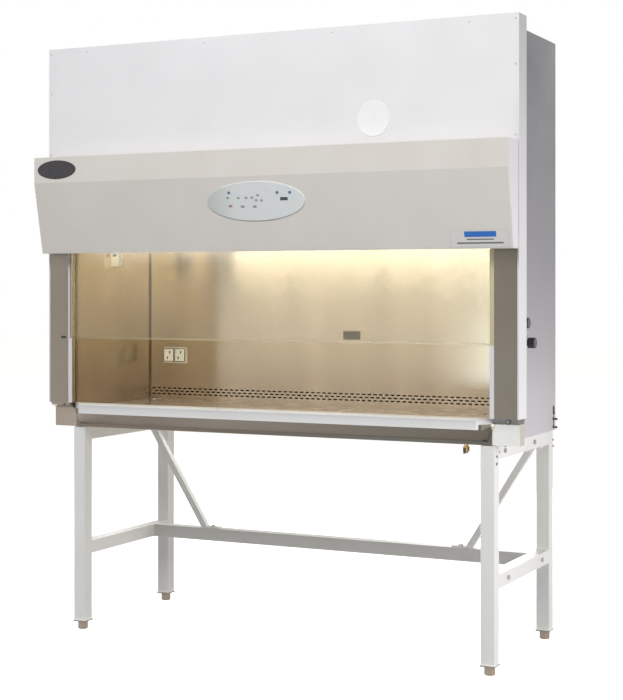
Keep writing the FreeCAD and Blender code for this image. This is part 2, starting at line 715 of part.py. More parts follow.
def rear_wall():
    half = WORK_HALF + SHEET
    depth = (REAR_WALL_DEPTH, REAR_WALL_DEPTH + SHEET)
    wall = box((-half, half), depth, (REAR_WALL_BOTTOM, PLENUM_FOOT))
    stagger = SLOT_PITCH / 4
    places = slot_places(WORK_HALF - SLOT_END_MARGIN - stagger, SLOT_LENGTH, SLOT_PITCH)
    slots = []
    for row in range(SLOT_ROW_COUNT):
        z = WORK_SURFACE + SLOT_ROW_RISE + SLOT_ROW_PITCH * row
        shift = stagger if row % 2 else -stagger
        for x in places:
            slots.append(box((x + shift - SLOT_LENGTH / 2, x + shift + SLOT_LENGTH / 2), depth,
                             (z - SLOT_HEIGHT / 2, z + SLOT_HEIGHT / 2)))
    return wall.cut(Part.makeCompound(slots))


def outlet_plate():
    half = OUTLET_LENGTH / 2
    depth = (REAR_WALL_DEPTH - OUTLET_THICKNESS, REAR_WALL_DEPTH)
    plate = box((OUTLET_X - half, OUTLET_X + half), depth,
                (OUTLET_Z - OUTLET_HEIGHT / 2, OUTLET_Z + OUTLET_HEIGHT / 2))
    front_y = y_at(depth[0])
    rim = [e for e in plate.Edges if abs(e.CenterOfMass.y - front_y) < SLIP]
    plate = plate.makeChamfer(SHEET, rim)
    pins = []
    for side in (-1, 1):
        x, pin_depth = cover_axis(side)
        reach = COVER_HEIGHT / 2
        pins.append(rod_z(COVER_PIN_RADIUS, x, pin_depth, (OUTLET_Z - reach, OUTLET_Z + reach)))
        for end in (-1, 1):
            lug_z = sorted((OUTLET_Z + end * (reach - SHEET), OUTLET_Z + end * reach))
            pins.append(box((x - 2 * COVER_PIN_RADIUS, x + 2 * COVER_PIN_RADIUS),
                            (pin_depth - 2 * COVER_PIN_RADIUS, depth[0]), lug_z))
    return fused([plate] + pins)


def cover_axis(side):
    """Where one flip cover turns: the pin's x and depth, near the plate's end."""
    x = OUTLET_X + side * (COVER_OFFSET + COVER_LENGTH / 2 - 2 * COVER_PIN_RADIUS)
    return x, REAR_WALL_DEPTH - OUTLET_THICKNESS - COVER_PIN_STAND_OFF


def outlet_cover(side):
    pin_x, pin_depth = cover_axis(side)
    centre = OUTLET_X + side * COVER_OFFSET
    lid_height = COVER_HEIGHT - 2 * SHEET - 2 * COVER_GAP
    z = (OUTLET_Z - lid_height / 2, OUTLET_Z + lid_height / 2)
    back = REAR_WALL_DEPTH - OUTLET_THICKNESS - COVER_GAP
    x = (centre - COVER_LENGTH / 2, centre + COVER_LENGTH / 2)
    lid = box(x, (back - COVER_THICKNESS, back), z)
    front_y = y_at(back - COVER_THICKNESS)
    rim = [e for e in lid.Edges if abs(e.CenterOfMass.y - front_y) < SLIP]
    lid = lid.makeFillet(COVER_WALL, rim)
    knuckle_radius = 2 * COVER_PIN_RADIUS
    inner_x = sorted((centre - side * (COVER_LENGTH / 2 - COVER_WALL), pin_x - side * knuckle_radius))
    hollow = box(inner_x, (back - COVER_THICKNESS + COVER_WALL, back),
                 (z[0] + COVER_WALL, z[1] - COVER_WALL))
    bore = rod_z(COVER_PIN_RADIUS + RUNNING_CLEARANCE, pin_x, pin_depth, z)
    swing = rod_z(knuckle_radius, pin_x, pin_depth, z)
    outer_x = centre + side * COVER_LENGTH / 2
    corner = box(sorted((pin_x, outer_x)), (pin_depth, back), z)
    return lid.cut(hollow).cut(corner.cut(swing)).cut(bore)


def vent_louvre():
    half = VENT_LENGTH / 2
    depth = (REAR_WALL_DEPTH - VENT_THICKNESS, REAR_WALL_DEPTH)
    x = (VENT_X - half, VENT_X + half)
    z = (VENT_Z - VENT_HEIGHT / 2, VENT_Z + VENT_HEIGHT / 2)
    plate = box(x, depth, z)
    cells = VENT_RIBS + 1
    pitch = (VENT_LENGTH - 2 * VENT_RIM) / cells
    slots = [box((x[0] + VENT_RIM + pitch * i + SHEET / 2, x[0] + VENT_RIM + pitch * (i + 1) - SHEET / 2),
                 (depth[0], depth[1] - SHEET), (z[0] + VENT_RIM, z[1] - VENT_RIM)) for i in range(cells)]
    return plate.cut(Part.makeCompound(slots))


def wall_socket():
    depth = (SOCKET_DEPTH - SOCKET_LENGTH / 2, SOCKET_DEPTH + SOCKET_LENGTH / 2)
    block = box((-WORK_HALF, -WORK_HALF + SOCKET_REACH), depth,
                (SOCKET_Z - SOCKET_HEIGHT / 2, SOCKET_Z + SOCKET_HEIGHT / 2))
    face_x = -WORK_HALF + SOCKET_REACH
    rim = [e for e in block.Edges if abs(e.CenterOfMass.x - face_x) < SLIP]
    block = block.makeFillet(SOCKET_ROUND, rim)
    bore = rod_x(SOCKET_BORE_RADIUS, (face_x - SOCKET_BORE_DEPTH, face_x), SOCKET_DEPTH, SOCKET_Z)
    return block.cut(bore)


# Outer body

def side_panel():
    return box((HALF_BODY - SHEET, HALF_BODY), (COLUMN_DEPTH, BODY_DEPTH - SHEET),
               (BODY_BOTTOM, CABINET_TOP - SHEET))


def knob_places():
    """The depth and height of each service valve knob."""
    return {"upper": (UPPER_KNOB_DEPTH, UPPER_KNOB_Z),
            "lower": (UPPER_KNOB_DEPTH + KNOB_STEP_BACK, UPPER_KNOB_Z - KNOB_STEP_DOWN)}


def side_panel_right():
    panel = side_panel()
    for depth, z in knob_places().values():
        collar = rod_x(COLLAR_RADIUS, (HALF_BODY - SHEET, HALF_BODY + COLLAR_LENGTH), depth, z)
        stem_hole = rod_x(KNOB_STEM_RADIUS + KNOB_STEM_CLEARANCE,
                          (HALF_BODY - SHEET, HALF_BODY + COLLAR_LENGTH), depth, z)
        panel = panel.fuse(collar).cut(stem_hole)
    return panel


def rear_panel():
    return box((-HALF_BODY, HALF_BODY), (BODY_DEPTH - SHEET, BODY_DEPTH), (BODY_BOTTOM, CABINET_TOP))


def top_panel():
    shoulder = HALF_FRAME - SHEET
    rear = BODY_DEPTH - SHEET
    outline = [(-shoulder, SHEET), (shoulder, SHEET), (shoulder, COLUMN_DEPTH), (HALF_BODY, COLUMN_DEPTH),
               (HALF_BODY, rear), (-HALF_BODY, rear), (-HALF_BODY, COLUMN_DEPTH), (-shoulder, COLUMN_DEPTH)]
    plate = prism_z(outline, (CABINET_TOP - SHEET, CABINET_TOP))
    half = EXHAUST_HALF_WIDTH - EXHAUST_RIM
    mouth = box((-half, half), (EXHAUST_FRONT + EXHAUST_RIM, EXHAUST_REAR - EXHAUST_RIM),
                (CABINET_TOP - SHEET, CABINET_TOP))
    return plate.cut(mouth)


def exhaust_guard():
    """A shallow slotted cover that stands over the mouth in the top panel."""
    half = EXHAUST_HALF_WIDTH - EXHAUST_RIM + GUARD_RIM
    front = EXHAUST_FRONT + EXHAUST_RIM - GUARD_RIM
    rear = EXHAUST_REAR - EXHAUST_RIM + GUARD_RIM
    top = CABINET_TOP + GUARD_HEIGHT
    cover = box((-half, half), (front, rear), (CABINET_TOP, top))
    inside = box((-half + SHEET, half - SHEET), (front + SHEET, rear - SHEET), (CABINET_TOP, top - SHEET))
    slots = [box((x - GUARD_SLOT_WIDTH / 2, x + GUARD_SLOT_WIDTH / 2),
                 (front + GUARD_MARGIN, rear - GUARD_MARGIN), (top - SHEET, top))
             for x in slot_places(half - GUARD_END_MARGIN, GUARD_SLOT_WIDTH, GUARD_PITCH)]
    return cover.cut(inside).cut(Part.makeCompound(slots))


def column():
    """One front column: a channel with its open side inwards, and the pulley's bracket and axle."""
    outer = HALF_FRAME
    z = (COLUMN_FOOT, CABINET_TOP - SHEET)
    web = box((outer - SHEET, outer), (SHEET, COLUMN_DEPTH), z)
    lip = box((outer - FRAME_LIP, outer), (0, SHEET), (COLUMN_FOOT, HOOD_BOTTOM))
    front = box((WORK_HALF, outer), (SHEET, 2 * SHEET), z)
    rear = box((HALF_BODY - SHEET, outer), (COLUMN_DEPTH - SHEET, COLUMN_DEPTH), z)
    plates = []
    for side in (-1, 1):
        near = PULLEY_DEPTH + side * BRACKET_GAP / 2
        plates.append(box((PULLEY_X - BRACKET_REACH, outer - SHEET), (near, near + side * BRACKET_PLATE),
                          (PULLEY_Z - BRACKET_HEIGHT / 2, PULLEY_Z + BRACKET_HEIGHT / 2)))
    reach = BRACKET_GAP / 2 + BRACKET_PLATE
    axle = rod_y(AXLE_RADIUS, PULLEY_X, (PULLEY_DEPTH - reach, PULLEY_DEPTH + reach), PULLEY_Z)
    return fused([web, lip, front, rear, axle] + plates)


def post_cover():
    return box((POST_INNER_X, HALF_FRAME - FRAME_LIP - SLIP), (0, SHEET), (COLUMN_FOOT, HOOD_BOTTOM))


def front_panel():
    hole = rod_y(CAP_HOLE_RADIUS + CAP_HOLE_CLEARANCE, CAP_X, (0, SHEET), CAP_Z)
    wide = box((-HALF_FRAME, HALF_FRAME), (0, SHEET), (HOOD_BOTTOM + SLIP, CABINET_TOP))
    window = box((-WORK_HALF, WORK_HALF), (0, SHEET), (HOOD_BOTTOM + SLIP, FRONT_PANEL_BOTTOM))
    return wide.cut(window).cut(hole)


def round_cap():
    disc = rod_y(CAP_RADIUS, CAP_X, (-CAP_THICKNESS, 0), CAP_Z)
    face_y = y_at(-CAP_THICKNESS)
    rim = [e for e in disc.Edges if abs(e.CenterOfMass.y - face_y) < SLIP]
    disc = disc.makeFillet(CAP_THICKNESS / 2, rim)
    plug = rod_y(CAP_HOLE_RADIUS, CAP_X, (0, SHEET), CAP_Z)
    screw = rod_y(CAP_SCREW_RADIUS, CAP_X, (-CAP_THICKNESS - CAP_SCREW_HEIGHT, -CAP_THICKNESS), CAP_Z)
    return fused([disc, plug, screw])


# Sash and its counterbalance

def sash_guide():
    """A tall channel behind the column's front flange, with the slot that the glass runs in."""
    x = (WORK_HALF, WORK_HALF + GUIDE_WIDTH)
    rail = box(x, (2 * SHEET, GUIDE_BACK), (COLUMN_FOOT, GUIDE_TOP))
    slot_x = (WORK_HALF, WORK_HALF + GLASS_BITE + GLASS_CLEARANCE)
    slot_depth = (GLASS_DEPTH - GLASS_CLEARANCE, GLASS_DEPTH + GLASS_THICKNESS + GLASS_CLEARANCE)
    return rail.cut(box(slot_x, slot_depth, (COLUMN_FOOT, GUIDE_TOP)))


def sash_glass():
    half = WORK_HALF + GLASS_BITE
    return box((-half, half), (GLASS_DEPTH, GLASS_DEPTH + GLASS_THICKNESS), (GLASS_BOTTOM, GLASS_TOP))


def edge_strip():
    half = WORK_HALF - SHEET
    depth = (GLASS_DEPTH - EDGE_STRIP_WALL, GLASS_DEPTH + GLASS_THICKNESS + EDGE_STRIP_WALL)
    strip = box((-half, half), depth, (STRIP_BOTTOM, STRIP_BOTTOM + EDGE_STRIP + EDGE_STRIP_WALL))
    groove = box((-half, half), (GLASS_DEPTH, GLASS_DEPTH + GLASS_THICKNESS),
                 (GLASS_BOTTOM, STRIP_BOTTOM + EDGE_STRIP + EDGE_STRIP_WALL))
    return strip.cut(groove)


def lift_arm():
    """Clamps one top corner of the glass and reaches out behind the guide to the cable."""
    x_in = WORK_HALF - CLAMP_GAP - CLAMP_WIDTH
    x_out = WORK_HALF - CLAMP_GAP
    z = (GLASS_TOP - CLAMP_DROP, ARM_TOP)
    glass_back = GLASS_DEPTH + GLASS_THICKNESS
    front_plate = box((x_in, x_out), (GLASS_DEPTH - CLAMP_PLATE, GLASS_DEPTH), z)
    bridge = box((x_in, x_out), (GLASS_DEPTH - CLAMP_PLATE, ARM_DEPTH + CLAMP_PLATE), (GLASS_TOP, ARM_TOP))
    spacer = box((x_in, x_out), (glass_back, ARM_DEPTH), z)
    lug_x = PULLEY_X - PULLEY_PITCH_RADIUS
    arm = box((x_in, lug_x + LUG / 2), (ARM_DEPTH, ARM_DEPTH + CLAMP_PLATE), z)
    lug = box((lug_x - LUG / 2, lug_x + LUG / 2), (ARM_DEPTH, ARM_DEPTH + LUG_DEPTH),
              (ARM_TOP - LUG, ARM_TOP))
    return fused([front_plate, bridge, spacer, arm, lug])


def sash_trim():
    arm = lift_arm()
    return Part.makeCompound([edge_strip(), arm, mirrored(arm)])


def pulley():
    """Turned from its section: a rim with a V groove for the cable."""
    root = PULLEY_PITCH_RADIUS - CABLE_RADIUS - CABLE_GAP
    half = PULLEY_WIDTH / 2
    bore = AXLE_RADIUS + RUNNING_CLEARANCE
    section = [(bore, -half), (PULLEY_RIM_RADIUS, -half), (PULLEY_RIM_RADIUS, -PULLEY_GROOVE_HALF),
               (root, -CABLE_RADIUS), (root, CABLE_RADIUS), (PULLEY_RIM_RADIUS, PULLEY_GROOVE_HALF),
               (PULLEY_RIM_RADIUS, half), (bore, half)]
    centre = Vector(PULLEY_X, y_at(PULLEY_DEPTH), PULLEY_Z)
    corners = [centre + Vector(radius, along, 0) for radius, along in section]
    face = Part.Face(Part.makePolygon(corners + corners[:1]))
    return face.revolve(centre, Vector(0, 1, 0), 360)


def cable_arc():
    ring = Part.makeTorus(PULLEY_PITCH_RADIUS, CABLE_RADIUS, Vector(PULLEY_X, y_at(PULLEY_DEPTH), PULLEY_Z),
                          Vector(0, 1, 0))
    reach = PULLEY_PITCH_RADIUS + 2 * CABLE_RADIUS
    upper = box((PULLEY_X - reach, PULLEY_X + reach), (PULLEY_DEPTH - reach, PULLEY_DEPTH + reach),
                (PULLEY_Z, PULLEY_Z + reach))
    return ring.common(upper)


def cable_fall(side, end_z):
    x = PULLEY_X + side * PULLEY_PITCH_RADIUS
    return rod_z(CABLE_RADIUS, x, PULLEY_DEPTH, (end_z, PULLEY_Z))


def counterweight():
    x = PULLEY_X + PULLEY_PITCH_RADIUS
    bar = box((x - WEIGHT_WIDTH / 2, x + WEIGHT_WIDTH / 2),
              (PULLEY_DEPTH - WEIGHT_DEPTH / 2, PULLEY_DEPTH + WEIGHT_DEPTH / 2),
              (WEIGHT_TOP - WEIGHT_HEIGHT, WEIGHT_TOP))
    return bar.makeChamfer(WEIGHT_ROUND, edges_along(bar, Vector(0, 0, 1), lambda p: True))


# Hood

def slope_depth(z):
    """Depth of the hood's slanted face at height z."""
    share = (z - HOOD_BOTTOM) / (HOOD_CREASE - HOOD_BOTTOM)
    return -HOOD_FOOT_REACH - share * (HOOD_REACH - HOOD_FOOT_REACH)


def slope_tilt():
    return math.atan2(HOOD_REACH - HOOD_FOOT_REACH, HOOD_CREASE - HOOD_BOTTOM)


def hood_shell():
    """A folded cover, open at its back and underside, with a cheek at each end."""
    flange_end = HINGE_DEPTH - KNUCKLE_RADIUS - SLIP
    notch_z = HINGE_Z - 2 * KNUCKLE_RADIUS
    outline = [(flange_end, HOOD_TOP), (-HOOD_REACH, HOOD_TOP), (-HOOD_REACH, HOOD_CREASE),
               (-HOOD_FOOT_REACH, HOOD_BOTTOM), (-HOOD_REAR_GAP, HOOD_BOTTOM), (-HOOD_REAR_GAP, notch_z),
               (flange_end, HOOD_TOP - SHEET)]
    outer = prism_x(outline, (-HALF_HOOD, HALF_HOOD))

    def is_front_edge(p):
        return p.y < y_at(-HOOD_FOOT_REACH) and abs(p.x) > HALF_HOOD - SLIP and p.z < HOOD_TOP - SLIP

    rounds = [e for e in outer.Edges if is_front_edge(e.CenterOfMass)]
    outer = outer.makeFillet(HOOD_EDGE_ROUND, rounds)
    skin = SHEET / math.cos(slope_tilt())
    hollow = [(HOOD_REAR_GAP, HOOD_TOP - SHEET), (-HOOD_REACH + SHEET, HOOD_TOP - SHEET),
              (-HOOD_REACH + SHEET, HOOD_CREASE), (-HOOD_FOOT_REACH + skin, HOOD_BOTTOM),
              (HOOD_REAR_GAP, HOOD_BOTTOM)]
    inner = prism_x(hollow, (-HALF_HOOD + SHEET, HALF_HOOD - SHEET))
    lip_depth = (-HOOD_FOOT_REACH + SHEET, -HOOD_FOOT_REACH + SHEET + HOOD_LIP)
    lip = box((-HALF_HOOD + SHEET, HALF_HOOD - SHEET), lip_depth, (HOOD_BOTTOM, HOOD_BOTTOM + SHEET))
    return fused([outer.cut(inner), lip])


def hinge_places():
    first = -HINGE_SPACING * (HINGE_COUNT - 1) / 2
    return [first + HINGE_SPACING * i for i in range(HINGE_COUNT)]


def hinge_thirds(x):
    third = HINGE_LENGTH / HINGE_KNUCKLES
    return [(x - HINGE_LENGTH / 2 + third * i + KNUCKLE_GAP / 2,
             x - HINGE_LENGTH / 2 + third * (i + 1) - KNUCKLE_GAP / 2) for i in range(HINGE_KNUCKLES)]


def hood_hinge_fixed():
    """Leaves on the front panel, each with the middle knuckle and the pin."""
    leaves = []
    for x in hinge_places():
        middle = hinge_thirds(x)[1]
        clear_z = HINGE_Z - KNUCKLE_RADIUS - SLIP
        leaf = box((x - HINGE_LENGTH / 2, x + HINGE_LENGTH / 2), (-LEAF_THICKNESS, 0),
                   (clear_z - LEAF_HEIGHT, clear_z))
        neck = box(middle, (HINGE_DEPTH, 0), (clear_z - LEAF_THICKNESS, HINGE_Z))
        knuckle = rod_x(KNUCKLE_RADIUS, middle, HINGE_DEPTH, HINGE_Z)
        pin = rod_x(HINGE_PIN_RADIUS, (x - HINGE_LENGTH / 2, x + HINGE_LENGTH / 2), HINGE_DEPTH, HINGE_Z)
        leaves.append(fused([leaf, neck, knuckle, pin]))
    return Part.makeCompound(leaves)


def hood():
    """The cover with the moving hinge knuckles welded under its top flange."""
    shell = hood_shell()
    knuckles = []
    for x in hinge_places():
        for part in (0, 2):
            span = hinge_thirds(x)[part]
            roll = rod_x(KNUCKLE_RADIUS, span, HINGE_DEPTH, HINGE_Z)
            leaf = box(span, (HINGE_DEPTH - LEAF_HEIGHT, HINGE_DEPTH),
                       (HINGE_Z + LEAF_THICKNESS / 2, HOOD_TOP - SHEET))
            bore = rod_x(HINGE_PIN_RADIUS + RUNNING_CLEARANCE, span, HINGE_DEPTH, HINGE_Z)
            knuckles.append(fused([roll, leaf]).cut(bore))
    return fused([shell] + knuckles)


def control_panel():
    """An oval pad on the slanted face, its rim rounded."""
    tilt = slope_tilt()
    outward = Vector(0, -math.cos(tilt), -math.sin(tilt))
    centre = Vector(0, y_at(slope_depth(PANEL_CENTRE_Z)), PANEL_CENTRE_Z)
    ellipse = Part.Ellipse(Vector(0, 0, 0), PANEL_LENGTH / 2, PANEL_HEIGHT / 2)
    face = Part.Face(Part.Wire(ellipse.toShape()))
    pad = face.extrude(Vector(0, 0, PANEL_THICKNESS))
    top_rim = [e for e in pad.Edges if e.CenterOfMass.z > PANEL_THICKNESS - SLIP]
    pad = pad.makeFillet(PANEL_ROUND, top_rim)
    turn = FreeCAD.Rotation(Vector(1, 0, 0), Vector(0, 0, 0), outward, "ZXY")
    pad.Placement = FreeCAD.Placement(centre, turn)
    return pad


# Plenum, filters and blower

def plenum():
    """The welded sheets that carry the supply filter, the blower and the return window."""
    half = HALF_BODY - SHEET - SLIP
    front = PLENUM_FRONT + SHEET
    rear = REAR_WALL_DEPTH
    top = CABINET_TOP - SHEET
    front_wall = box((-half, half), (PLENUM_FRONT, front), (PLENUM_FOOT, top))
    rear_sheet = box((-half, half), (rear, rear + SHEET), (PLENUM_FOOT, top))
    window_foot = SHELF_Z + RETURN_WINDOW_RISE
    window = box((-RETURN_WINDOW_HALF, RETURN_WINDOW_HALF), (rear, rear + SHEET),
                 (window_foot, window_foot + RETURN_WINDOW_HEIGHT))
    shelf = box((-half, half), (front, rear), (SHELF_Z, SHELF_Z + SHEET))
    mouth_depth, _ = outlet_mouth(SHEET)
    mouth_half = BLOWER_HALF_WIDTH - SHEET
    mouth = box((-mouth_half, mouth_half), mouth_depth, (SHELF_Z, SHELF_Z + SHEET))
    ledge_z = (PLENUM_FOOT, PLENUM_FOOT + SHEET)
    between = (PLENUM_FRONT + PLENUM_LEDGE, rear - PLENUM_LEDGE)
    ledges = [box((-half, half), (front, between[0]), ledge_z),
              box((-half, half), (between[1], rear), ledge_z)]
    ledges += [box((side * (half - PLENUM_LEDGE), side * half), between, ledge_z)
               for side in (-1, 1)]
    return Part.makeCompound([front_wall, rear_sheet.cut(window), shelf.cut(mouth)] + ledges)


def diffuser():
    """The slotted ceiling of the work zone, hung from the plenum by its turned-up hems."""
    half = WORK_HALF - SHEET
    depth = (PLENUM_FRONT, REAR_WALL_DEPTH)
    body = box((-half, half), depth, (CEILING, PLENUM_FOOT))
    hollow = box((-half, half), (depth[0] + SHEET, depth[1] - SHEET), (CEILING + SHEET, PLENUM_FOOT))
    slots = [box((x - DIFFUSER_SLOT_WIDTH / 2, x + DIFFUSER_SLOT_WIDTH / 2),
                 (depth[0] + DIFFUSER_MARGIN, depth[1] - DIFFUSER_MARGIN), (CEILING, CEILING + SHEET))
             for x in slot_places(half - DIFFUSER_END_MARGIN, DIFFUSER_SLOT_WIDTH, DIFFUSER_PITCH)]
    return body.cut(hollow).cut(Part.makeCompound(slots))


def pleated_pack(x, depth, z):
    """One folded sheet that zigzags between z[0] and z[1] along x."""
    pleats = round((x[1] - x[0]) / PLEAT_PITCH)
    pitch = (x[1] - x[0]) / pleats
    step = PLEAT_THICKNESS * math.hypot(2 * (z[1] - z[0]) / pitch, 1)
    low, high = z[0], z[1] - step
    upper, lower = [], []
    for i in range(2 * pleats + 1):
        fold_x = x[0] + pitch / 2 * i
        fold_z = high if i % 2 else low
        lower.append((fold_x, fold_z))
        upper.append((fold_x, fold_z + step))
    y0 = y_at(depth[0])
    corners = [Vector(px, y0, pz) for px, pz in lower + upper[::-1]]
    face = Part.Face(Part.makePolygon(corners + corners[:1]))
    return face.extrude(Vector(0, depth[1] - depth[0], 0))


def filter_box(x, depth, z):
    """A board frame round a pleated pack."""
    outer = box(x, depth, z)
    inner_x = (x[0] + FILTER_BOARD, x[1] - FILTER_BOARD)
    inner_depth = (depth[0] + FILTER_BOARD, depth[1] - FILTER_BOARD)
    frame = outer.cut(box(inner_x, inner_depth, z))
    pack = pleated_pack(inner_x, inner_depth, (z[0] + FILTER_RECESS, z[1] - FILTER_RECESS))
    return fused([frame, pack])


def supply_filter():
    half = HALF_BODY - SHEET - FILTER_SIDE_GAP
    foot = PLENUM_FOOT + SHEET
    return filter_box((-half, half), (PLENUM_FRONT + SHEET + SLIP, REAR_WALL_DEPTH - SLIP),
                      (foot, foot + FILTER_HEIGHT))


def exhaust_filter():
    top = CABINET_TOP - SHEET
    return filter_box((-EXHAUST_HALF_WIDTH, EXHAUST_HALF_WIDTH), (EXHAUST_FRONT, EXHAUST_REAR),
                      (top - FILTER_HEIGHT, top))


def outlet_mouth(inset):
    """The blower's outlet: its depth range and the tongue's (depth, z)."""
    half = VOLUTE_GROWTH / 2
    tongue = math.radians(TONGUE_ANGLE)
    tongue_depth = BLOWER_DEPTH - half + VOLUTE_RADIUS * math.cos(tongue)
    tongue_z = BLOWER_Z - half + VOLUTE_RADIUS * math.sin(tongue)
    far = BLOWER_DEPTH + half + VOLUTE_RADIUS + 3 * VOLUTE_GROWTH
    return (tongue_depth + inset, far - inset), (tongue_depth, tongue_z)


def volute(inset, x):
    """The scroll: quarter arcs whose radius grows by one step each, then the straight outlet."""
    half = VOLUTE_GROWTH / 2
    radii = [VOLUTE_RADIUS + VOLUTE_GROWTH * i - inset for i in range(4)]
    centres = [(-half, -half), (-half, half), (half, half), (half, -half)]
    limits = [(TONGUE_ANGLE, -90), (-90, -180), (-180, -270), (-270, -360)]

    def place(centre, radius, angle):
        turn = math.radians(angle)
        return Vector(x[0], y_at(BLOWER_DEPTH + centre[0] + radius * math.cos(turn)),
                      BLOWER_Z + centre[1] + radius * math.sin(turn))

    edges = []
    for centre, radius, (start, end) in zip(centres, radii, limits):
        arc_points = [place(centre, radius, angle) for angle in (start, (start + end) / 2, end)]
        edges.append(Part.Arc(*arc_points).toShape())
    mouth, (_, tongue_z) = outlet_mouth(inset)
    foot_z = SHELF_Z + SHEET
    last = place(centres[3], radii[3], -360)
    first = place(centres[0], radii[0], TONGUE_ANGLE)
    corners = [last, Vector(x[0], y_at(mouth[1]), foot_z), Vector(x[0], y_at(mouth[0]), foot_z),
               Vector(x[0], y_at(mouth[0]), tongue_z), first]
    for a, b in zip(corners, corners[1:]):
        if (b - a).Length > NO_LENGTH:
            edges.append(Part.LineSegment(a, b).toShape())
    face = Part.Face(Part.Wire(Part.__sortEdges__(edges)))
    return face.extrude(Vector(x[1] - x[0], 0, 0))


def blower_housing():
    half = BLOWER_HALF_WIDTH
    shell = volute(0, (-half, half)).cut(volute(SHEET, (-half + SHEET, half - SHEET)))
    inlets = rod_x(INLET_RADIUS, (-half, half), BLOWER_DEPTH, BLOWER_Z)
    mouth, _ = outlet_mouth(0)
    foot = SHELF_Z + SHEET
    flange = box((-half - OUTLET_FLANGE, half + OUTLET_FLANGE),
                 (mouth[0] - OUTLET_FLANGE, mouth[1] + OUTLET_FLANGE), (foot, foot + SHEET))
    inner, _ = outlet_mouth(SHEET)
    flange = flange.cut(box((-half + SHEET, half - SHEET), inner, (foot, foot + SHEET)))
    return fused([shell, flange]).cut(inlets)


def blower_wheel():
    """Forward-leaning blades between end rings and a centre disc, on the shaft."""
    shaft_x = (SHAFT_LEFT_END, MOTOR_LEFT + MOTOR_BORE_DEPTH - SLIP)
    parts = [rod_x(WHEEL_RADIUS, (-SHEET, SHEET), BLOWER_DEPTH, BLOWER_Z),
             rod_x(HUB_RADIUS, (-HUB_HALF_WIDTH, HUB_HALF_WIDTH), BLOWER_DEPTH, BLOWER_Z),
             rod_x(SHAFT_RADIUS, shaft_x, BLOWER_DEPTH, BLOWER_Z)]
    for side in (-1, 1):
        x = sorted((side * WHEEL_HALF_WIDTH, side * (WHEEL_HALF_WIDTH - WHEEL_RING)))
        ring = rod_x(WHEEL_RADIUS, x, BLOWER_DEPTH, BLOWER_Z)
        parts.append(ring.cut(rod_x(WHEEL_INNER_RADIUS, x, BLOWER_DEPTH, BLOWER_Z)))
    for i in range(WHEEL_BLADES):
        turn = 2 * math.pi * i / WHEEL_BLADES
        lean = turn + math.radians(BLADE_LEAN)
        inner = WHEEL_INNER_RADIUS + SLIP
        outer = WHEEL_RADIUS - SLIP
        corners = []
        for radius, angle, shift in ((inner, turn, 0), (outer, lean, 0), (outer, lean, 1), (inner, turn, 1)):
            spread = shift * BLADE_THICKNESS / radius
            corners.append(Vector(-WHEEL_HALF_WIDTH, y_at(BLOWER_DEPTH + radius * math.cos(angle + spread)),
                                  BLOWER_Z + radius * math.sin(angle + spread)))
        blade = Part.Face(Part.makePolygon(corners + corners[:1]))
        parts.append(blade.extrude(Vector(2 * WHEEL_HALF_WIDTH, 0, 0)))
    return fused(parts)


def blower_motor():
    x = (MOTOR_LEFT, MOTOR_LEFT + MOTOR_LENGTH)
    can = rod_x(MOTOR_RADIUS, x, BLOWER_DEPTH, BLOWER_Z)
    fins = []
    pitch = MOTOR_LENGTH / (MOTOR_FINS + 1)
    for i in range(MOTOR_FINS):
        fin_x = x[0] + pitch * (i + 1) - MOTOR_FIN_THICKNESS / 2
        fins.append(rod_x(MOTOR_RADIUS + MOTOR_FIN, (fin_x, fin_x + MOTOR_FIN_THICKNESS),
                          BLOWER_DEPTH, BLOWER_Z))
    foot = SHELF_Z + SHEET
    middle = (x[0] + x[1]) / 2
    half = MOTOR_STAND_WIDTH / 2
    post = box((middle - half, middle + half), (BLOWER_DEPTH - half, BLOWER_DEPTH + half),
               (foot, BLOWER_Z - MOTOR_RADIUS / 2))
    void = box((middle - half, middle + half),
               (BLOWER_DEPTH - half + MOTOR_STAND_THICKNESS, BLOWER_DEPTH + half - MOTOR_STAND_THICKNESS),
               (foot, BLOWER_Z - MOTOR_RADIUS - MOTOR_FIN - MOTOR_STAND_THICKNESS))
    base_half = MOTOR_BASE_LENGTH / 2
    sole = box((middle - half, middle + half), (BLOWER_DEPTH - base_half, BLOWER_DEPTH + base_half),
               (foot, foot + MOTOR_STAND_THICKNESS))
    bore = rod_x(SHAFT_RADIUS + RUNNING_CLEARANCE, (x[0], x[0] + MOTOR_BORE_DEPTH), BLOWER_DEPTH, BLOWER_Z)
    return fused([can, post.cut(void), sole] + fins).cut(bore)


# Lamps

def lamp_centres():
    return [side * (LAMP_GAP / 2 + LAMP_LENGTH / 2) for side in (-1, 1)]


def lamp_fixture():
    """A folded reflector on the front panel's foot with four lamp holders hanging from it."""
    brim = LAMP_DEPTH - LAMP_RADIUS
    outline = [(0, FRONT_PANEL_BOTTOM), (0, FIXTURE_TOP), (-FIXTURE_SHEET, FIXTURE_TOP),
               (-FIXTURE_SHEET, FRONT_PANEL_BOTTOM + FIXTURE_SHEET), (brim, FIXTURE_BRIM + FIXTURE_SHEET),
               (brim, FIXTURE_BRIM)]
    parts = [prism_x(outline, (-FIXTURE_HALF, FIXTURE_HALF))]
    for centre in lamp_centres():
        for side in (-1, 1):
            end = centre + side * LAMP_LENGTH / 2
            x = sorted((end, end + side * LAMP_HOLDER))
            depth = (LAMP_DEPTH - LAMP_RADIUS, LAMP_DEPTH + LAMP_RADIUS)
            parts.append(box(x, depth, (LAMP_Z - LAMP_RADIUS, FIXTURE_BRIM + FIXTURE_SHEET)))
    return fused(parts)


def lamp_tubes():
    tubes = [rod_x(LAMP_RADIUS, (c - LAMP_LENGTH / 2, c + LAMP_LENGTH / 2), LAMP_DEPTH, LAMP_Z)
             for c in lamp_centres()]
    return Part.makeCompound(tubes)


# Valves

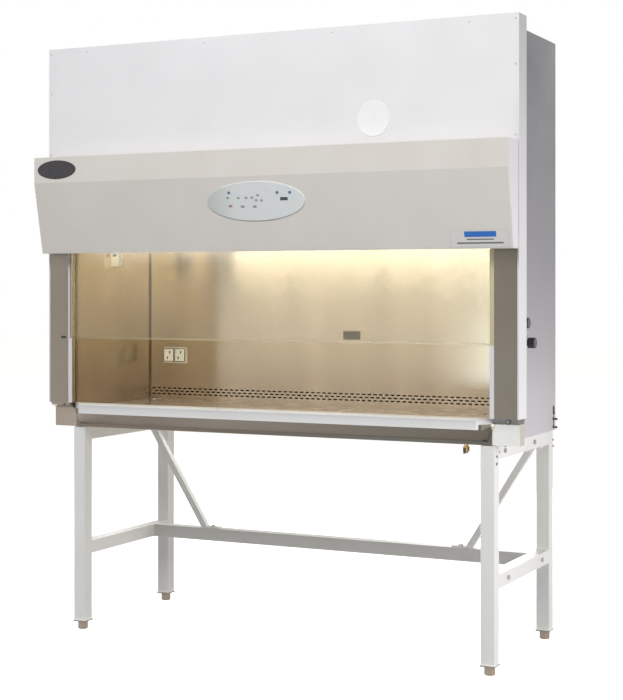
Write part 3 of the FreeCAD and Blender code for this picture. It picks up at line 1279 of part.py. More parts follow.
def service_knob(depth, z):
    """A fluted knob on its stem, which runs in the collar of the side panel."""
    foot = HALF_BODY + KNOB_STAND_OFF
    grip = rod_x(KNOB_RADIUS, (foot, foot + KNOB_LENGTH), depth, z)
    far_x = foot + KNOB_LENGTH
    grip = grip.makeFillet(SHEET, [e for e in grip.Edges if abs(e.CenterOfMass.x - far_x) < SLIP])
    for i in range(KNOB_GRIPS):
        turn = 2 * math.pi * i / KNOB_GRIPS
        reach = KNOB_RADIUS + KNOB_GRIP_RADIUS / 2
        grip = grip.cut(rod_x(KNOB_GRIP_RADIUS, (foot, far_x), depth + reach * math.cos(turn),
                              z + reach * math.sin(turn)))
    stem = rod_x(KNOB_STEM_RADIUS, (HALF_BODY - SHEET - KNOB_STEM_TAIL, foot), depth, z)
    return fused([grip, stem])


def drain_valve():
    top = BODY_BOTTOM
    body_top = top - DRAIN_NIPPLE_LENGTH
    body_foot = body_top - DRAIN_BODY_LENGTH
    spout = body_foot - DRAIN_SPOUT_LENGTH
    parts = [rod_z(DRAIN_NIPPLE_RADIUS, DRAIN_X, DRAIN_DEPTH, (body_top, top)),
             rod_z(DRAIN_BODY_RADIUS, DRAIN_X, DRAIN_DEPTH, (body_foot, body_top)),
             rod_z(DRAIN_NIPPLE_RADIUS, DRAIN_X, DRAIN_DEPTH, (spout, body_foot))]
    bore = rod_z(DRAIN_BORE_RADIUS, DRAIN_X, DRAIN_DEPTH, (spout, top))
    middle = (body_top + body_foot) / 2
    seat = rod_y(DRAIN_STEM_RADIUS + RUNNING_CLEARANCE, DRAIN_X,
                 (DRAIN_DEPTH - DRAIN_BODY_RADIUS, DRAIN_DEPTH - DRAIN_BORE_RADIUS), middle)
    return fused(parts).cut(bore).cut(seat)


def drain_handle():
    middle = BODY_BOTTOM - DRAIN_NIPPLE_LENGTH - DRAIN_BODY_LENGTH / 2
    face = DRAIN_DEPTH - DRAIN_LEVER_OFFSET
    stem = rod_y(DRAIN_STEM_RADIUS, DRAIN_X, (face, DRAIN_DEPTH - DRAIN_BORE_RADIUS - SLIP), middle)
    half = DRAIN_LEVER_WIDTH / 2
    lever = box((DRAIN_X - half, DRAIN_X + half), (face - DRAIN_LEVER_THICKNESS, face),
                (middle - DRAIN_LEVER_LENGTH, middle + half))
    lever = lever.makeFillet(DRAIN_LEVER_THICKNESS, edges_along(lever, Vector(0, 1, 0), lambda p: True))
    return fused([stem, lever])


def all_nodes():
    nodes = {}
    for side_name, side in (("left", -1), ("right", 1)):
        nodes["leg_front_" + side_name] = leg(side, FRONT_LEG_FACE)
        nodes["leg_rear_" + side_name] = leg(side, REAR_LEG_FACE)
        nodes["levelling_foot_front_" + side_name] = levelling_foot(side, FRONT_LEG_FACE)
        nodes["levelling_foot_rear_" + side_name] = levelling_foot(side, REAR_LEG_FACE)
        nodes["outlet_cover_" + side_name] = outlet_cover(side)
    nodes["stand_top_rails"] = both_sides(side_rail(BODY_BOTTOM, top_bolt_depths()))
    nodes["stand_lower_rails"] = both_sides(side_rail(LOWER_RAIL_TOP, lower_bolt_depths()))
    nodes["cross_rail"] = cross_rail()
    nodes["braces"] = both_sides(brace())
    nodes["stand_bolts"] = stand_bolts()
    nodes["base_pan"] = base_pan()
    nodes["front_sill"] = front_sill()
    nodes["armrest"] = armrest()
    nodes["front_grille"] = front_grille()
    nodes["work_surface"] = work_surface()
    nodes["inner_side_walls"] = both_sides(inner_side_wall())
    nodes["rear_wall"] = rear_wall()
    nodes["outlet_plate"] = outlet_plate()
    nodes["vent_louvre"] = vent_louvre()
    nodes["wall_socket"] = wall_socket()
    nodes["side_panel_left"] = mirrored(side_panel())
    nodes["side_panel_right"] = side_panel_right()
    nodes["rear_panel"] = rear_panel()
    nodes["top_panel"] = top_panel()
    nodes["exhaust_guard"] = exhaust_guard()
    nodes["column_left"] = mirrored(column())
    nodes["column_right"] = column()
    nodes["post_covers"] = both_sides(post_cover())
    nodes["front_panel"] = front_panel()
    nodes["round_cap"] = round_cap()
    nodes["sash_guides"] = both_sides(sash_guide())
    nodes["sash_glass"] = sash_glass()
    nodes["sash_trim"] = sash_trim()
    nodes["pulley_left"] = mirrored(pulley())
    nodes["pulley_right"] = pulley()
    nodes["sash_cable_arcs"] = both_sides(cable_arc())
    nodes["sash_cable_front_falls"] = both_sides(cable_fall(-1, ARM_TOP))
    nodes["sash_cable_rear_falls"] = both_sides(cable_fall(1, WEIGHT_TOP))
    nodes["counterweights"] = both_sides(counterweight())
    nodes["hood"] = hood()
    nodes["hood_hinge_fixed"] = hood_hinge_fixed()
    nodes["control_panel"] = control_panel()
    nodes["plenum"] = plenum()
    nodes["diffuser"] = diffuser()
    nodes["supply_filter"] = supply_filter()
    nodes["exhaust_filter"] = exhaust_filter()
    nodes["blower_housing"] = blower_housing()
    nodes["blower_wheel"] = blower_wheel()
    nodes["blower_motor"] = blower_motor()
    nodes["lamp_fixture"] = lamp_fixture()
    nodes["lamp_tubes"] = lamp_tubes()
    for name, (depth, z) in knob_places().items():
        nodes["service_knob_" + name] = service_knob(depth, z)
    nodes["drain_valve"] = drain_valve()
    nodes["drain_handle"] = drain_handle()
    return nodes


def main():
    os.makedirs("parts", exist_ok=True)
    for name, shape in all_nodes().items():
        shape.exportStep("parts/%s.step" % name)


main()
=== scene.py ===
import math

import bpy
from mathutils import Matrix, Vector


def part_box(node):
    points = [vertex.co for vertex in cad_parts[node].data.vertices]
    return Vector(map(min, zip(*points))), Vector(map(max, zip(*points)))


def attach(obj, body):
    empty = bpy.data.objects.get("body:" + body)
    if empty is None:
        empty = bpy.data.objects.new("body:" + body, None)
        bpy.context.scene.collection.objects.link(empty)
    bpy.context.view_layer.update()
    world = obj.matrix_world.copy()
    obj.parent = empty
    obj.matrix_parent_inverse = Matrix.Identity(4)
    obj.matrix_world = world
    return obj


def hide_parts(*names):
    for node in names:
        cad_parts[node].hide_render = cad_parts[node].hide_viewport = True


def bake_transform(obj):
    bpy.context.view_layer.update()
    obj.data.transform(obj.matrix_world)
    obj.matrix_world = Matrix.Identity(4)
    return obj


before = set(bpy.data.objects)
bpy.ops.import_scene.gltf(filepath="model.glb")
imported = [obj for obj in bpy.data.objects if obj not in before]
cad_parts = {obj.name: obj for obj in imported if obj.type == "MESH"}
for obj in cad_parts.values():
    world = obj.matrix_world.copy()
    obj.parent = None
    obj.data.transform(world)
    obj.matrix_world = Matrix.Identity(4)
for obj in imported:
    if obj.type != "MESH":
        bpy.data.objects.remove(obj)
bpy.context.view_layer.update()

# Biological safety cabinet: materials, small fittings, light and camera.
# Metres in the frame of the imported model: +X right, +Y to the rear, +Z up.

# Camera of the photograph
CAMERA_PLACE = (2.702, -5.4741, 1.3654)
CAMERA_TURN = (math.radians(90), 0, math.radians(26))
CAMERA_LENS = 80.03
CAMERA_SENSOR = 36.0
CAMERA_SHIFT_Y = -0.0887

# Planes and corners that the fittings sit on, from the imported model
FRONT_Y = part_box("front_panel")[0].y
HALF_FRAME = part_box("front_panel")[1].x
TOP_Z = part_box("front_panel")[1].z
HALF_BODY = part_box("rear_panel")[1].x
REAR_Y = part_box("rear_panel")[1].y
BODY_FOOT_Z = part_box("rear_panel")[0].z
COLUMN_INNER_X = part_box("column_right")[0].x
RAIL_SIDE_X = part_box("stand_top_rails")[1].x
LEG_FOOT_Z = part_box("leg_front_right")[0].z
POST_TOP_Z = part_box("post_covers")[1].z
GLASS_FOOT_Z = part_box("sash_glass")[0].z
GRILLE_TOP_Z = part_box("front_grille")[1].z
TRAY_TOP_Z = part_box("work_surface")[1].z
SIDE_WALL_TOP_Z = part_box("inner_side_walls")[1].z
HOOD_LOW, HOOD_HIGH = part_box("hood")
SILL_LOW, SILL_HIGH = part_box("front_sill")
PANEL_LOW, PANEL_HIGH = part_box("control_panel")
CROSS_LOW, CROSS_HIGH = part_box("cross_rail")
WALL_LOW, WALL_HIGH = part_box("rear_wall")
REST_LOW, REST_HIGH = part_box("armrest")
TUBE_LOW, TUBE_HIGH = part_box("lamp_tubes")
OUTLET_LOW, OUTLET_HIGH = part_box("outlet_cover_right")
SOCKET_LOW, SOCKET_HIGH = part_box("wall_socket")

# Hood section
HOOD_BAND_HEIGHT = 0.101
HOOD_FOOT_REACH = 0.050
HOOD_END_SKIN = 0.0006
HOOD_CREASE_Z = HOOD_HIGH.z - HOOD_BAND_HEIGHT
SLOPE_FOOT_Y = FRONT_Y - HOOD_FOOT_REACH
SLOPE_TILT = math.atan2(SLOPE_FOOT_Y - HOOD_LOW.y, HOOD_CREASE_Z - HOOD_LOW.z)
PANEL_THICKNESS = 0.003

# Front sill: its end blocks and the ledge above them
SILL_BLOCK_X = 0.875
SILL_BLOCK_TOP_Z = 0.8885
SILL_LEDGE_Y = -0.312

# How high the end plate under a leg reaches, and the clear part of the sash's edge strip
LEG_PLATE_HEIGHT = 0.0045
STRIP_CLEAR_HEIGHT = 0.03

# How far a flush screw head or a bare print stands out of its surface
PROUD = 0.0003

SIDES = ((-1, "left"), (1, "right"))
STEPS_ROUND = 48
CORNER_STEPS = 6
SCREW_STEPS = 24

# Display colours, 0 to 255. A tone list runs along one axis of its part, from 0 to 1.
# Right side panel: darker towards the top and paler towards the foot, painted shade and painted
# reflection.
SIDE_SHADE_TONES = [(0.0, (213, 210, 215)), (0.1, (203, 200, 205)), (0.2, (185, 182, 187)),
              (0.37, (160, 158, 164)), (0.5, (134, 132, 138)), (0.65, (122, 120, 126)),
              (0.75, (102, 100, 106)), (0.92, (93, 91, 97)), (1.0, (108, 105, 111))]
# Columns: darker towards the top, painted shade where less light falls.
COLUMN_SHADE_TONES = [(0.0, (240, 238, 241)), (0.6, (234, 232, 236)), (1.0, (218, 215, 220))]
# Front panel: darker just above the hood, painted shade.
FRONT_SHADE_TONES = [(0.0, (230, 230, 232)), (0.18, (237, 237, 239)), (0.4, (243, 243, 245)),
               (1.0, (243, 243, 245))]
# Armrest: pale at its lower lip and darker on top, painted light and shade.
REST_LIGHT_AND_SHADE_TONES = [(0.0, (253, 252, 250)), (0.6, (238, 238, 239)), (1.0, (206, 202, 196))]
# Work zone walls: warmer and lighter towards the top, painted lamp light.
REAR_WALL_LAMP_LIGHT_TONES = [(0.0, (184, 168, 147)), (0.5, (200, 184, 154)), (1.0, (200, 187, 160))]
SIDE_WALL_LAMP_LIGHT_TONES = [(0.0, (184, 168, 147)), (0.5, (200, 184, 154)), (1.0, (228, 210, 170))]
# Front sill, left to right: the bay and the ledge darken and the end blocks brighten, painted
# reflection and shade.
BAY_REFLECTION_TONES = [(0.0, (120, 111, 101)), (1.0, (79, 74, 66))]
BLOCK_REFLECTION_TONES = [(0.0, (155, 144, 131)), (1.0, (190, 184, 175))]
LEDGE_SHADE_TONES = [(0.0, (150, 139, 128)), (1.0, (100, 98, 95))]
# Control panel: darker towards its left end, painted shade.
KEYPAD_SHADE_TONES = [(0.0, (202, 207, 204)), (0.3, (234, 238, 238)), (1.0, (236, 241, 240))]
# Sash edge strip: darker and warmer towards its left end, painted shade.
STRIP_SHADE_TONES = [(0.0, (176, 158, 118)), (0.3, (214, 198, 158)), (1.0, (252, 244, 222))]
HOOD_END_WHITE = (243, 240, 246)
LEG_PLATE_GREY = (150, 146, 140)
LAMP_LIGHT = (255, 243, 214)
PURE = (255, 255, 255)
WHITE = (1.0, 1.0, 1.0, 1.0)

# Noise that the materials share: where its range is cut, and its scales per metre
NOISE_LOW, NOISE_HIGH = 0.3, 0.7
PAINT_CLOUDS = 5.0
PAINT_PEEL = 700.0
PLASTIC_CLOUDS = 40.0
PLASTIC_SKIN = 1500.0
BRUSH_LINES = 420.0
BRUSH_STRETCH = 0.02


# Materials

def srgb(red, green, blue):
    """A display colour, 0 to 255, as the linear colour that a shader takes."""
    return tuple((c / 255 / 12.92 if c <= 10 else ((c / 255 + 0.055) / 1.055) ** 2.4)
                 for c in (red, green, blue)) + (1.0,)


def scaled(colour, share):
    return tuple(min(1.0, c * share) for c in colour[:3]) + (1.0,)


class Shading:
    """A node material with its Principled shader, and short calls that add nodes to it."""

    def __init__(self, name, roughness, metallic=0.0):
        self.material = bpy.data.materials.new(name)
        self.material.use_nodes = True
        self.nodes = self.material.node_tree.nodes
        self.links = self.material.node_tree.links
        self.shader = self.nodes["Principled BSDF"]
        self.roughness = roughness
        self.set("Roughness", roughness)
        self.set("Metallic", metallic)
        self.place = self.nodes.new("ShaderNodeTexCoord").outputs["Object"]

    def set(self, name, value):
        self.feed(self.shader.inputs[name], value)

    def feed(self, socket, value):
        if isinstance(value, bpy.types.NodeSocket):
            self.links.new(value, socket)
        else:
            socket.default_value = value

    def noise(self, scale, detail=3.0, stretch=(1, 1, 1)):
        mapping = self.nodes.new("ShaderNodeMapping")
        self.feed(mapping.inputs["Vector"], self.place)
        self.feed(mapping.inputs["Scale"], stretch)
        node = self.nodes.new("ShaderNodeTexNoise")
        self.feed(node.inputs["Vector"], mapping.outputs["Vector"])
        self.feed(node.inputs["Scale"], scale)
        self.feed(node.inputs["Detail"], detail)
        return node.outputs["Fac"]

    def brush_lines(self, along):
        """Fine lines drawn out along one axis, as a brush leaves them in steel."""
        stretch = tuple(BRUSH_STRETCH if axis == along else 1.0 for axis in "xyz")
        return self.noise(BRUSH_LINES, detail=4.0, stretch=stretch)

    def ramp(self, value, stops):
        node = self.nodes.new("ShaderNodeValToRGB")
        first, last = node.color_ramp.elements
        first.position, first.color = stops[0]
        last.position, last.color = stops[-1]
        for position, colour in stops[1:-1]:
            node.color_ramp.elements.new(position).color = colour
        self.feed(node.inputs["Fac"], value)
        return node.outputs["Color"]

    def varied(self, noise, colour, spread):
        """One colour, a share darker where a noise is low and a share lighter where it is high."""
        colour = srgb(*colour)
        return self.ramp(noise, [(NOISE_LOW, scaled(colour, 1 - spread)),
                                 (NOISE_HIGH, scaled(colour, 1 + spread))])

    def mottled(self, noise, low, high=PURE):
        """Two display colours, one where a noise is low and one where it is high."""
        return self.ramp(noise, [(NOISE_LOW, srgb(*low)), (NOISE_HIGH, srgb(*high))])

    def blend(self, first, second, share, mode="MIX"):
        node = self.nodes.new("ShaderNodeMix")
        node.data_type = "RGBA"
        node.blend_type = mode
        self.feed(node.inputs[0], share)
        self.feed(node.inputs[6], first)
        self.feed(node.inputs[7], second)
        return node.outputs[2]

    def multiplied(self, tone, *tints):
        for tint in tints:
            tone = self.blend(tone, tint, 1.0, "MULTIPLY")
        return tone

    def remap(self, value, low, high, start=0.0, end=1.0):
        node = self.nodes.new("ShaderNodeMapRange")
        self.feed(node.inputs["Value"], value)
        self.feed(node.inputs["From Min"], start)
        self.feed(node.inputs["From Max"], end)
        self.feed(node.inputs["To Min"], low)
        self.feed(node.inputs["To Max"], high)
        return node.outputs["Result"]

    def coordinate(self, axis):
        split = self.nodes.new("ShaderNodeSeparateXYZ")
        self.feed(split.inputs["Vector"], self.place)
        return split.outputs[axis]

    def along(self, axis, start, end):
        """0 at start and 1 at end along one axis of the part."""
        return self.remap(self.coordinate(axis), 0.0, 1.0, start, end)

    def outside(self, axis, limit, edge):
        """0 inside plus and minus limit along one axis and 1 beyond it, over a narrow edge."""
        size = self.nodes.new("ShaderNodeMath")
        size.operation = "ABSOLUTE"
        self.feed(size.inputs[0], self.coordinate(axis))
        return self.remap(size.outputs["Value"], 0.0, 1.0, limit, limit + edge)

    def graded(self, axis, start, end, tones):
        """Display colours that change over along one axis of the part."""
        stops = [(position, srgb(*tone)) for position, tone in tones]
        return self.ramp(self.along(axis, start, end), stops)

    def uneven_gloss(self, noise, spread):
        low, high = self.roughness - spread, self.roughness + spread
        self.set("Roughness", self.remap(noise, low, high, NOISE_LOW, NOISE_HIGH))

    def bump(self, value, strength, distance):
        node = self.nodes.new("ShaderNodeBump")
        self.feed(node.inputs["Height"], value)
        self.feed(node.inputs["Strength"], strength)
        self.feed(node.inputs["Distance"], distance)
        self.set("Normal", node.outputs["Normal"])

    def sprayed(self, clouds, grain=0.04):
        """The slightly uneven gloss and the orange peel of sprayed paint."""
        self.uneven_gloss(clouds, spread=0.05)
        self.bump(self.noise(PAINT_PEEL, detail=2.0), strength=grain, distance=0.0004)

    def moulded(self, clouds, spread, grain):
        """The slightly uneven gloss and the fine skin of moulded plastic."""
        self.uneven_gloss(clouds, spread)
        self.bump(self.noise(PLASTIC_SKIN, detail=2.0), strength=grain, distance=0.0002)

    def brushed_upwards(self, amount):
        """Reflections drawn out up and down, as on sheet brushed from side to side."""
        self.set("Anisotropic", amount)
        way = self.nodes.new("ShaderNodeCombineXYZ")
        for axis, share in (("X", 0.0), ("Y", 0.2), ("Z", 1.0)):
            self.feed(way.inputs[axis], share)
        self.set("Tangent", way.outputs["Vector"])


def paint(name, colour, roughness):
    """Sprayed paint: faint cloudiness, orange peel and slightly uneven gloss."""
    shading = Shading(name, roughness)
    clouds = shading.noise(PAINT_CLOUDS)
    shading.set("Base Color", shading.varied(clouds, colour, spread=0.02))
    shading.sprayed(clouds)
    return shading.material


def graded_paint(name, low, high, tones, roughness):
    """Sprayed paint whose tone changes slowly from the part's foot to its top: painted light and shade.
    """
    shading = Shading(name, roughness)
    clouds = shading.noise(4.0)
    tone = shading.graded("Z", low, high, tones)
    shading.set("Base Color", shading.multiplied(tone, shading.mottled(clouds, (250, 250, 250))))
    shading.sprayed(clouds)
    return shading.material


def hood_paint():
    """Warm grey paint of the hood, with its two end plates in the white of the columns."""
    shading = Shading("hood_paint", roughness=0.4)
    clouds = shading.noise(PAINT_CLOUDS)
    grey = shading.mottled(clouds, (228, 223, 216), (233, 228, 222))
    ends = shading.outside("X", HOOD_HIGH.x - HOOD_END_SKIN, HOOD_END_SKIN / 2)
    shading.set("Base Color", shading.blend(grey, srgb(*HOOD_END_WHITE), ends))
    shading.sprayed(clouds)
    return shading.material


def leg_paint():
    """White stand paint, with the bare grey end plate under each leg."""
    shading = Shading("leg_paint", roughness=0.42)
    clouds = shading.noise(PAINT_CLOUDS)
    white = shading.mottled(clouds, (247, 247, 244), (252, 252, 249))
    plate_top = LEG_FOOT_Z + LEG_PLATE_HEIGHT
    painted = shading.along("Z", plate_top, plate_top + 0.0005)
    shading.set("Base Color", shading.blend(srgb(*LEG_PLATE_GREY), white, painted))
    shading.sprayed(clouds)
    return shading.material


def brushed(name, colour, roughness, along, metallic=1.0, spread=0.05, right_shade_share=1.0):
    """Brushed metal with its grain along one axis. Its tone may darken towards the part's right side:
    painted reflection and shade.
    """
    shading = Shading(name, roughness, metallic)
    lines = shading.brush_lines(along)
    tone = shading.varied(lines, colour, spread)
    soft = shading.mottled(shading.noise(3.0), (244, 242, 239))
    # Painted reflection and shade: darker towards the right side by the share given.
    shift = shading.ramp(shading.along("X", -HALF_FRAME, HALF_FRAME),
                         [(0.0, WHITE), (1.0, scaled(WHITE, right_shade_share))])
    shading.set("Base Color", shading.multiplied(tone, soft, shift))
    shading.uneven_gloss(lines, spread=0.05)
    shading.bump(lines, strength=0.03, distance=0.0001)
    return shading.material


def lamp_lit_liner_steel(name, tones):
    """Stainless sheet of the work zone, brushed from side to side, with soft upright wipe marks. Its
    warm tone, lighter towards the top, is painted lamp light.
    """
    shading = Shading(name, roughness=0.22, metallic=0.85)
    lines = shading.noise(900.0, detail=3.0, stretch=(0.02, 0.02, 1.0))
    wipes = shading.noise(7.0, detail=3.0, stretch=(1.0, 1.0, 0.12))
    # Painted lamp light: warmer and lighter towards the top.
    tone = shading.graded("Z", SILL_HIGH.z, WALL_HIGH.z, tones)
    fine = shading.mottled(lines, (247, 247, 246))
    broad = shading.mottled(wipes, (240, 239, 236))
    shading.set("Base Color", shading.multiplied(tone, fine, broad))
    shading.uneven_gloss(wipes, spread=0.02)
    shading.bump(lines, strength=0.02, distance=0.0001)
    shading.brushed_upwards(amount=0.95)
    return shading.material


def sill_steel_painted_light():
    """Stainless sheet of the front sill: brown bay, paler end blocks and a dark ledge above them. The
    bay and the ledge darken and the blocks brighten towards the right: painted reflection and shade.
    """
    shading = Shading("sill_steel_painted_light", roughness=0.34, metallic=0.85)
    # Painted reflection and shade: the bay and the ledge darken and the blocks brighten towards the
    # right.
    bay, block, ledge = (shading.graded("X", -HALF_FRAME, HALF_FRAME, tones)
                         for tones in (BAY_REFLECTION_TONES, BLOCK_REFLECTION_TONES, LEDGE_SHADE_TONES))
    lower = shading.blend(bay, block, shading.outside("X", SILL_BLOCK_X, edge=0.004))
    above = shading.along("Z", SILL_BLOCK_TOP_Z - 0.001, SILL_BLOCK_TOP_Z)
    lines = shading.brush_lines("x")
    tone = shading.blend(lower, ledge, above)
    shading.set("Base Color", shading.multiplied(tone, shading.mottled(lines, (243, 243, 243))))
    shading.uneven_gloss(lines, spread=0.04)
    shading.bump(lines, strength=0.03, distance=0.0001)
    return shading.material


def shaded_edge_strip():
    """The sash's edge strip: nearly clear at the pane's lower edge and brushed steel above it. Darker
    and warmer towards its left end: painted shade.
    """
    shading = Shading("shaded_edge_strip", roughness=0.3)
    lines = shading.brush_lines("x")
    tone = shading.graded("X", -HALF_FRAME, HALF_FRAME, STRIP_SHADE_TONES)
    shading.set("Base Color", shading.multiplied(tone, shading.mottled(lines, (244, 243, 240))))
    clear_top = GLASS_FOOT_Z + STRIP_CLEAR_HEIGHT
    upper = shading.along("Z", clear_top, clear_top + 0.001)
    shading.set("Alpha", shading.remap(upper, 0.24, 1.0))
    shading.set("Metallic", upper)
    shading.bump(lines, strength=0.03, distance=0.0001)
    return shading.material


def plastic(name, colour, roughness, spread=0.04, grain=0.08):
    """Moulded plastic: a fine even texture and small changes of tone."""
    shading = Shading(name, roughness)
    clouds = shading.noise(PLASTIC_CLOUDS)
    shading.set("Base Color", shading.varied(clouds, colour, spread))
    shading.moulded(clouds, spread=0.04, grain=grain)
    return shading.material


def shaded_keypad():
    """Pale face of the control panel, a little darker towards its left end: painted shade."""
    shading = Shading("shaded_keypad", roughness=0.3)
    clouds = shading.noise(PLASTIC_CLOUDS)
    tone = shading.graded("X", PANEL_LOW.x, PANEL_HIGH.x, KEYPAD_SHADE_TONES)
    shading.set("Base Color", shading.multiplied(tone, shading.mottled(clouds, (252, 252, 252))))
    shading.moulded(clouds, spread=0.03, grain=0.02)
    return shading.material


def pane():
    """Clear safety glass under a faint pale film, uneven at random, that stands in for its reflection:
    painted reflection.
    """
    shading = Shading("pane", roughness=0.04)
    reflection_veil = shading.noise(6.0)
    shading.set("Base Color", shading.mottled(reflection_veil, (226, 224, 214), (240, 238, 230)))
    shading.set("Alpha", shading.remap(reflection_veil, 0.045, 0.065, NOISE_LOW, NOISE_HIGH))
    return shading.material


def lamp_glow():
    """A lit tube behind its frosted glass."""
    shading = Shading("lamp_glow", roughness=0.3)
    frost = shading.noise(60.0)
    shading.set("Base Color", shading.mottled(frost, (250, 246, 232), (255, 252, 242)))
    shading.set("Emission Color", srgb(*LAMP_LIGHT))
    shading.set("Emission Strength", 1.5)
    return shading.material


def pleated_paper():
    """Filter paper: fine fibres and faint bands along the folds."""
    shading = Shading("pleated_paper", roughness=0.9)
    fibre = shading.noise(500.0, detail=5.0, stretch=(1.0, 0.1, 1.0))
    shading.set("Base Color", shading.mottled(fibre, (226, 224, 214), (246, 244, 236)))
    shading.bump(fibre, strength=0.3, distance=0.0004)
    return shading.material


def cast_metal(name, colour, roughness, metallic):
    """A rough casting, painted or in bare iron."""
    shading = Shading(name, roughness, metallic)
    skin = shading.noise(160.0, detail=6.0)
    shading.set("Base Color", shading.varied(skin, colour, spread=0.15))
    shading.uneven_gloss(skin, spread=0.08)
    shading.bump(skin, strength=0.35, distance=0.0006)
    return shading.material


def slot_materials():
    """One finished material for each material slot of the record."""
    return {
        "stand_paint": leg_paint(),
        "foot_metal": brushed("foot_metal", (146, 134, 122), roughness=0.5, along="z", metallic=0.7),
        "zinc": brushed("zinc", (132, 130, 128), roughness=0.38, along="x"),
        "stainless": brushed("stainless", (172, 164, 152), roughness=0.34, along="x", metallic=0.9),
        "body_steel": paint("body_paint", (150, 148, 153), roughness=0.45),
        # The armrest's change of tone is painted light and shade.
        "armrest_finish": graded_paint("armrest_paint_light_and_shade", REST_LOW.z, REST_HIGH.z, REST_LIGHT_AND_SHADE_TONES,
                                       roughness=0.38),
        "white_paint": paint("white_paint", (247, 247, 248), roughness=0.36),
        "guide_white": plastic("guide_white", (236, 230, 224), roughness=0.4),
        "hood_paint": hood_paint(),
        "panel_plastic": shaded_keypad(),
        "sash_glass": pane(),
        "lamp_white": paint("lamp_white", (246, 246, 240), roughness=0.3),
        "lamp_glass": lamp_glow(),
        "ivory_plastic": plastic("ivory_plastic", (222, 214, 186), roughness=0.45),
        "vent_metal": paint("vent_metal", (122, 112, 94), roughness=0.5),
        "sheet_steel": brushed("sheet_steel", (200, 202, 204), roughness=0.4, along="x", metallic=0.9),
        "wheel_alloy": brushed("wheel_alloy", (204, 205, 208), roughness=0.35, along="x"),
        "motor_casting": cast_metal("motor_casting", (92, 95, 100), roughness=0.6, metallic=0.2),
        "filter_media": pleated_paper(),
        "weight_iron": cast_metal("weight_iron", (84, 84, 86), roughness=0.65, metallic=0.6),
        "pulley_plastic": plastic("pulley_plastic", (52, 52, 53), roughness=0.4),
        "cable_steel": brushed("cable_steel", (190, 190, 190), roughness=0.35, along="x"),
        "knob_plastic": plastic("knob_plastic", (46, 46, 50), roughness=0.4),
        "valve_brass": brushed("valve_brass", (190, 160, 100), roughness=0.35, along="z"),
    }


NODE_SLOTS = {
    "stand_paint": ["leg_front_left", "leg_front_right", "leg_rear_left", "leg_rear_right",
                    "stand_top_rails", "stand_lower_rails", "braces"],
    "foot_metal": ["levelling_foot_front_left", "levelling_foot_front_right",
                   "levelling_foot_rear_left", "levelling_foot_rear_right"],
    "zinc": ["hood_hinge_fixed"],
    "stainless": ["base_pan", "diffuser"],
    "body_steel": ["side_panel_left", "rear_panel", "top_panel", "exhaust_guard"],
    "armrest_finish": ["armrest"],
    "white_paint": ["round_cap"],
    "hood_paint": ["hood"],
    "panel_plastic": ["control_panel"],
    "sash_glass": ["sash_glass"],
    "lamp_white": ["lamp_fixture"],
    "lamp_glass": ["lamp_tubes"],
    "ivory_plastic": ["outlet_plate", "wall_socket"],
    "vent_metal": ["vent_louvre"],
    "sheet_steel": ["plenum", "blower_housing"],
    "wheel_alloy": ["blower_wheel"],
    "motor_casting": ["blower_motor"],
    "filter_media": ["supply_filter", "exhaust_filter"],
    "weight_iron": ["counterweights"],
    "pulley_plastic": ["pulley_left", "pulley_right"],
    "cable_steel": ["sash_cable_arcs"],
    "knob_plastic": ["service_knob_upper", "service_knob_lower", "drain_handle"],
    "valve_brass": ["drain_valve"],
}


def own_finishes():
    """Each finish that isn't its slot's, with the nodes that it dresses."""
    return (
        # The work zone walls' tones are painted lamp light.
        (lamp_lit_liner_steel("lamp_lit_liner_steel", REAR_WALL_LAMP_LIGHT_TONES), ["rear_wall", "sash_guides"]),
        (lamp_lit_liner_steel("lamp_lit_side_wall_steel", SIDE_WALL_LAMP_LIGHT_TONES), ["inner_side_walls"]),
        (brushed("tray_steel", (248, 241, 230), roughness=0.25, along="x", metallic=0.9),
         ["work_surface", "front_grille"]),
        # The columns darken towards the top: painted shade.
        (graded_paint("column_paint_and_shade", SILL_HIGH.z, TOP_Z, COLUMN_SHADE_TONES, roughness=0.36),
         ["column_left", "column_right"]),
        # The right side panel's change of tone from foot to top is painted shade and painted
        # reflection.
        (graded_paint("side_paint_and_shade", BODY_FOOT_Z, TOP_Z, SIDE_SHADE_TONES, roughness=0.45),
         ["side_panel_right"]),
        # The front panel darkens just above the hood: painted shade.
        (graded_paint("front_paint_and_shade", HOOD_HIGH.z, TOP_Z, FRONT_SHADE_TONES, roughness=0.36),
         ["front_panel"]),
        # The cross rail's paint is a darker copy of the stand's white: painted shade under the cabinet.
        (paint("shaded_rail_paint", (226, 225, 221), roughness=0.42), ["cross_rail"]),
        (plastic("outlet_ivory", (238, 235, 216), roughness=0.4),
         ["outlet_cover_left", "outlet_cover_right"]),
        (sill_steel_painted_light(), ["front_sill"]),
        (brushed("bolt_zinc", (176, 170, 168), roughness=0.42, along="x", metallic=0.7),
         ["stand_bolts"]),
        (shaded_edge_strip(), ["sash_trim"]),
        # The post covers darken towards the right: painted reflection and shade.
        (brushed("post_steel_shaded_right", (138, 130, 119), roughness=0.42, along="z", metallic=0.9, spread=0.03,
                 right_shade_share=0.65), ["post_covers"]),
    )


def dress(obj, material):
    obj.data.materials.clear()
    obj.data.materials.append(material)


def dress_nodes(materials):
    finishes = [(materials[slot], names) for slot, names in NODE_SLOTS.items()]
    for material, names in finishes + list(own_finishes()):
        for name in names:
            dress(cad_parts[name], material)


# Outlines and places for small pieces

def oval(width, height):
    return [(width / 2 * math.cos(turn), height / 2 * math.sin(turn))
            for turn in (2 * math.pi * i / STEPS_ROUND for i in range(STEPS_ROUND))]


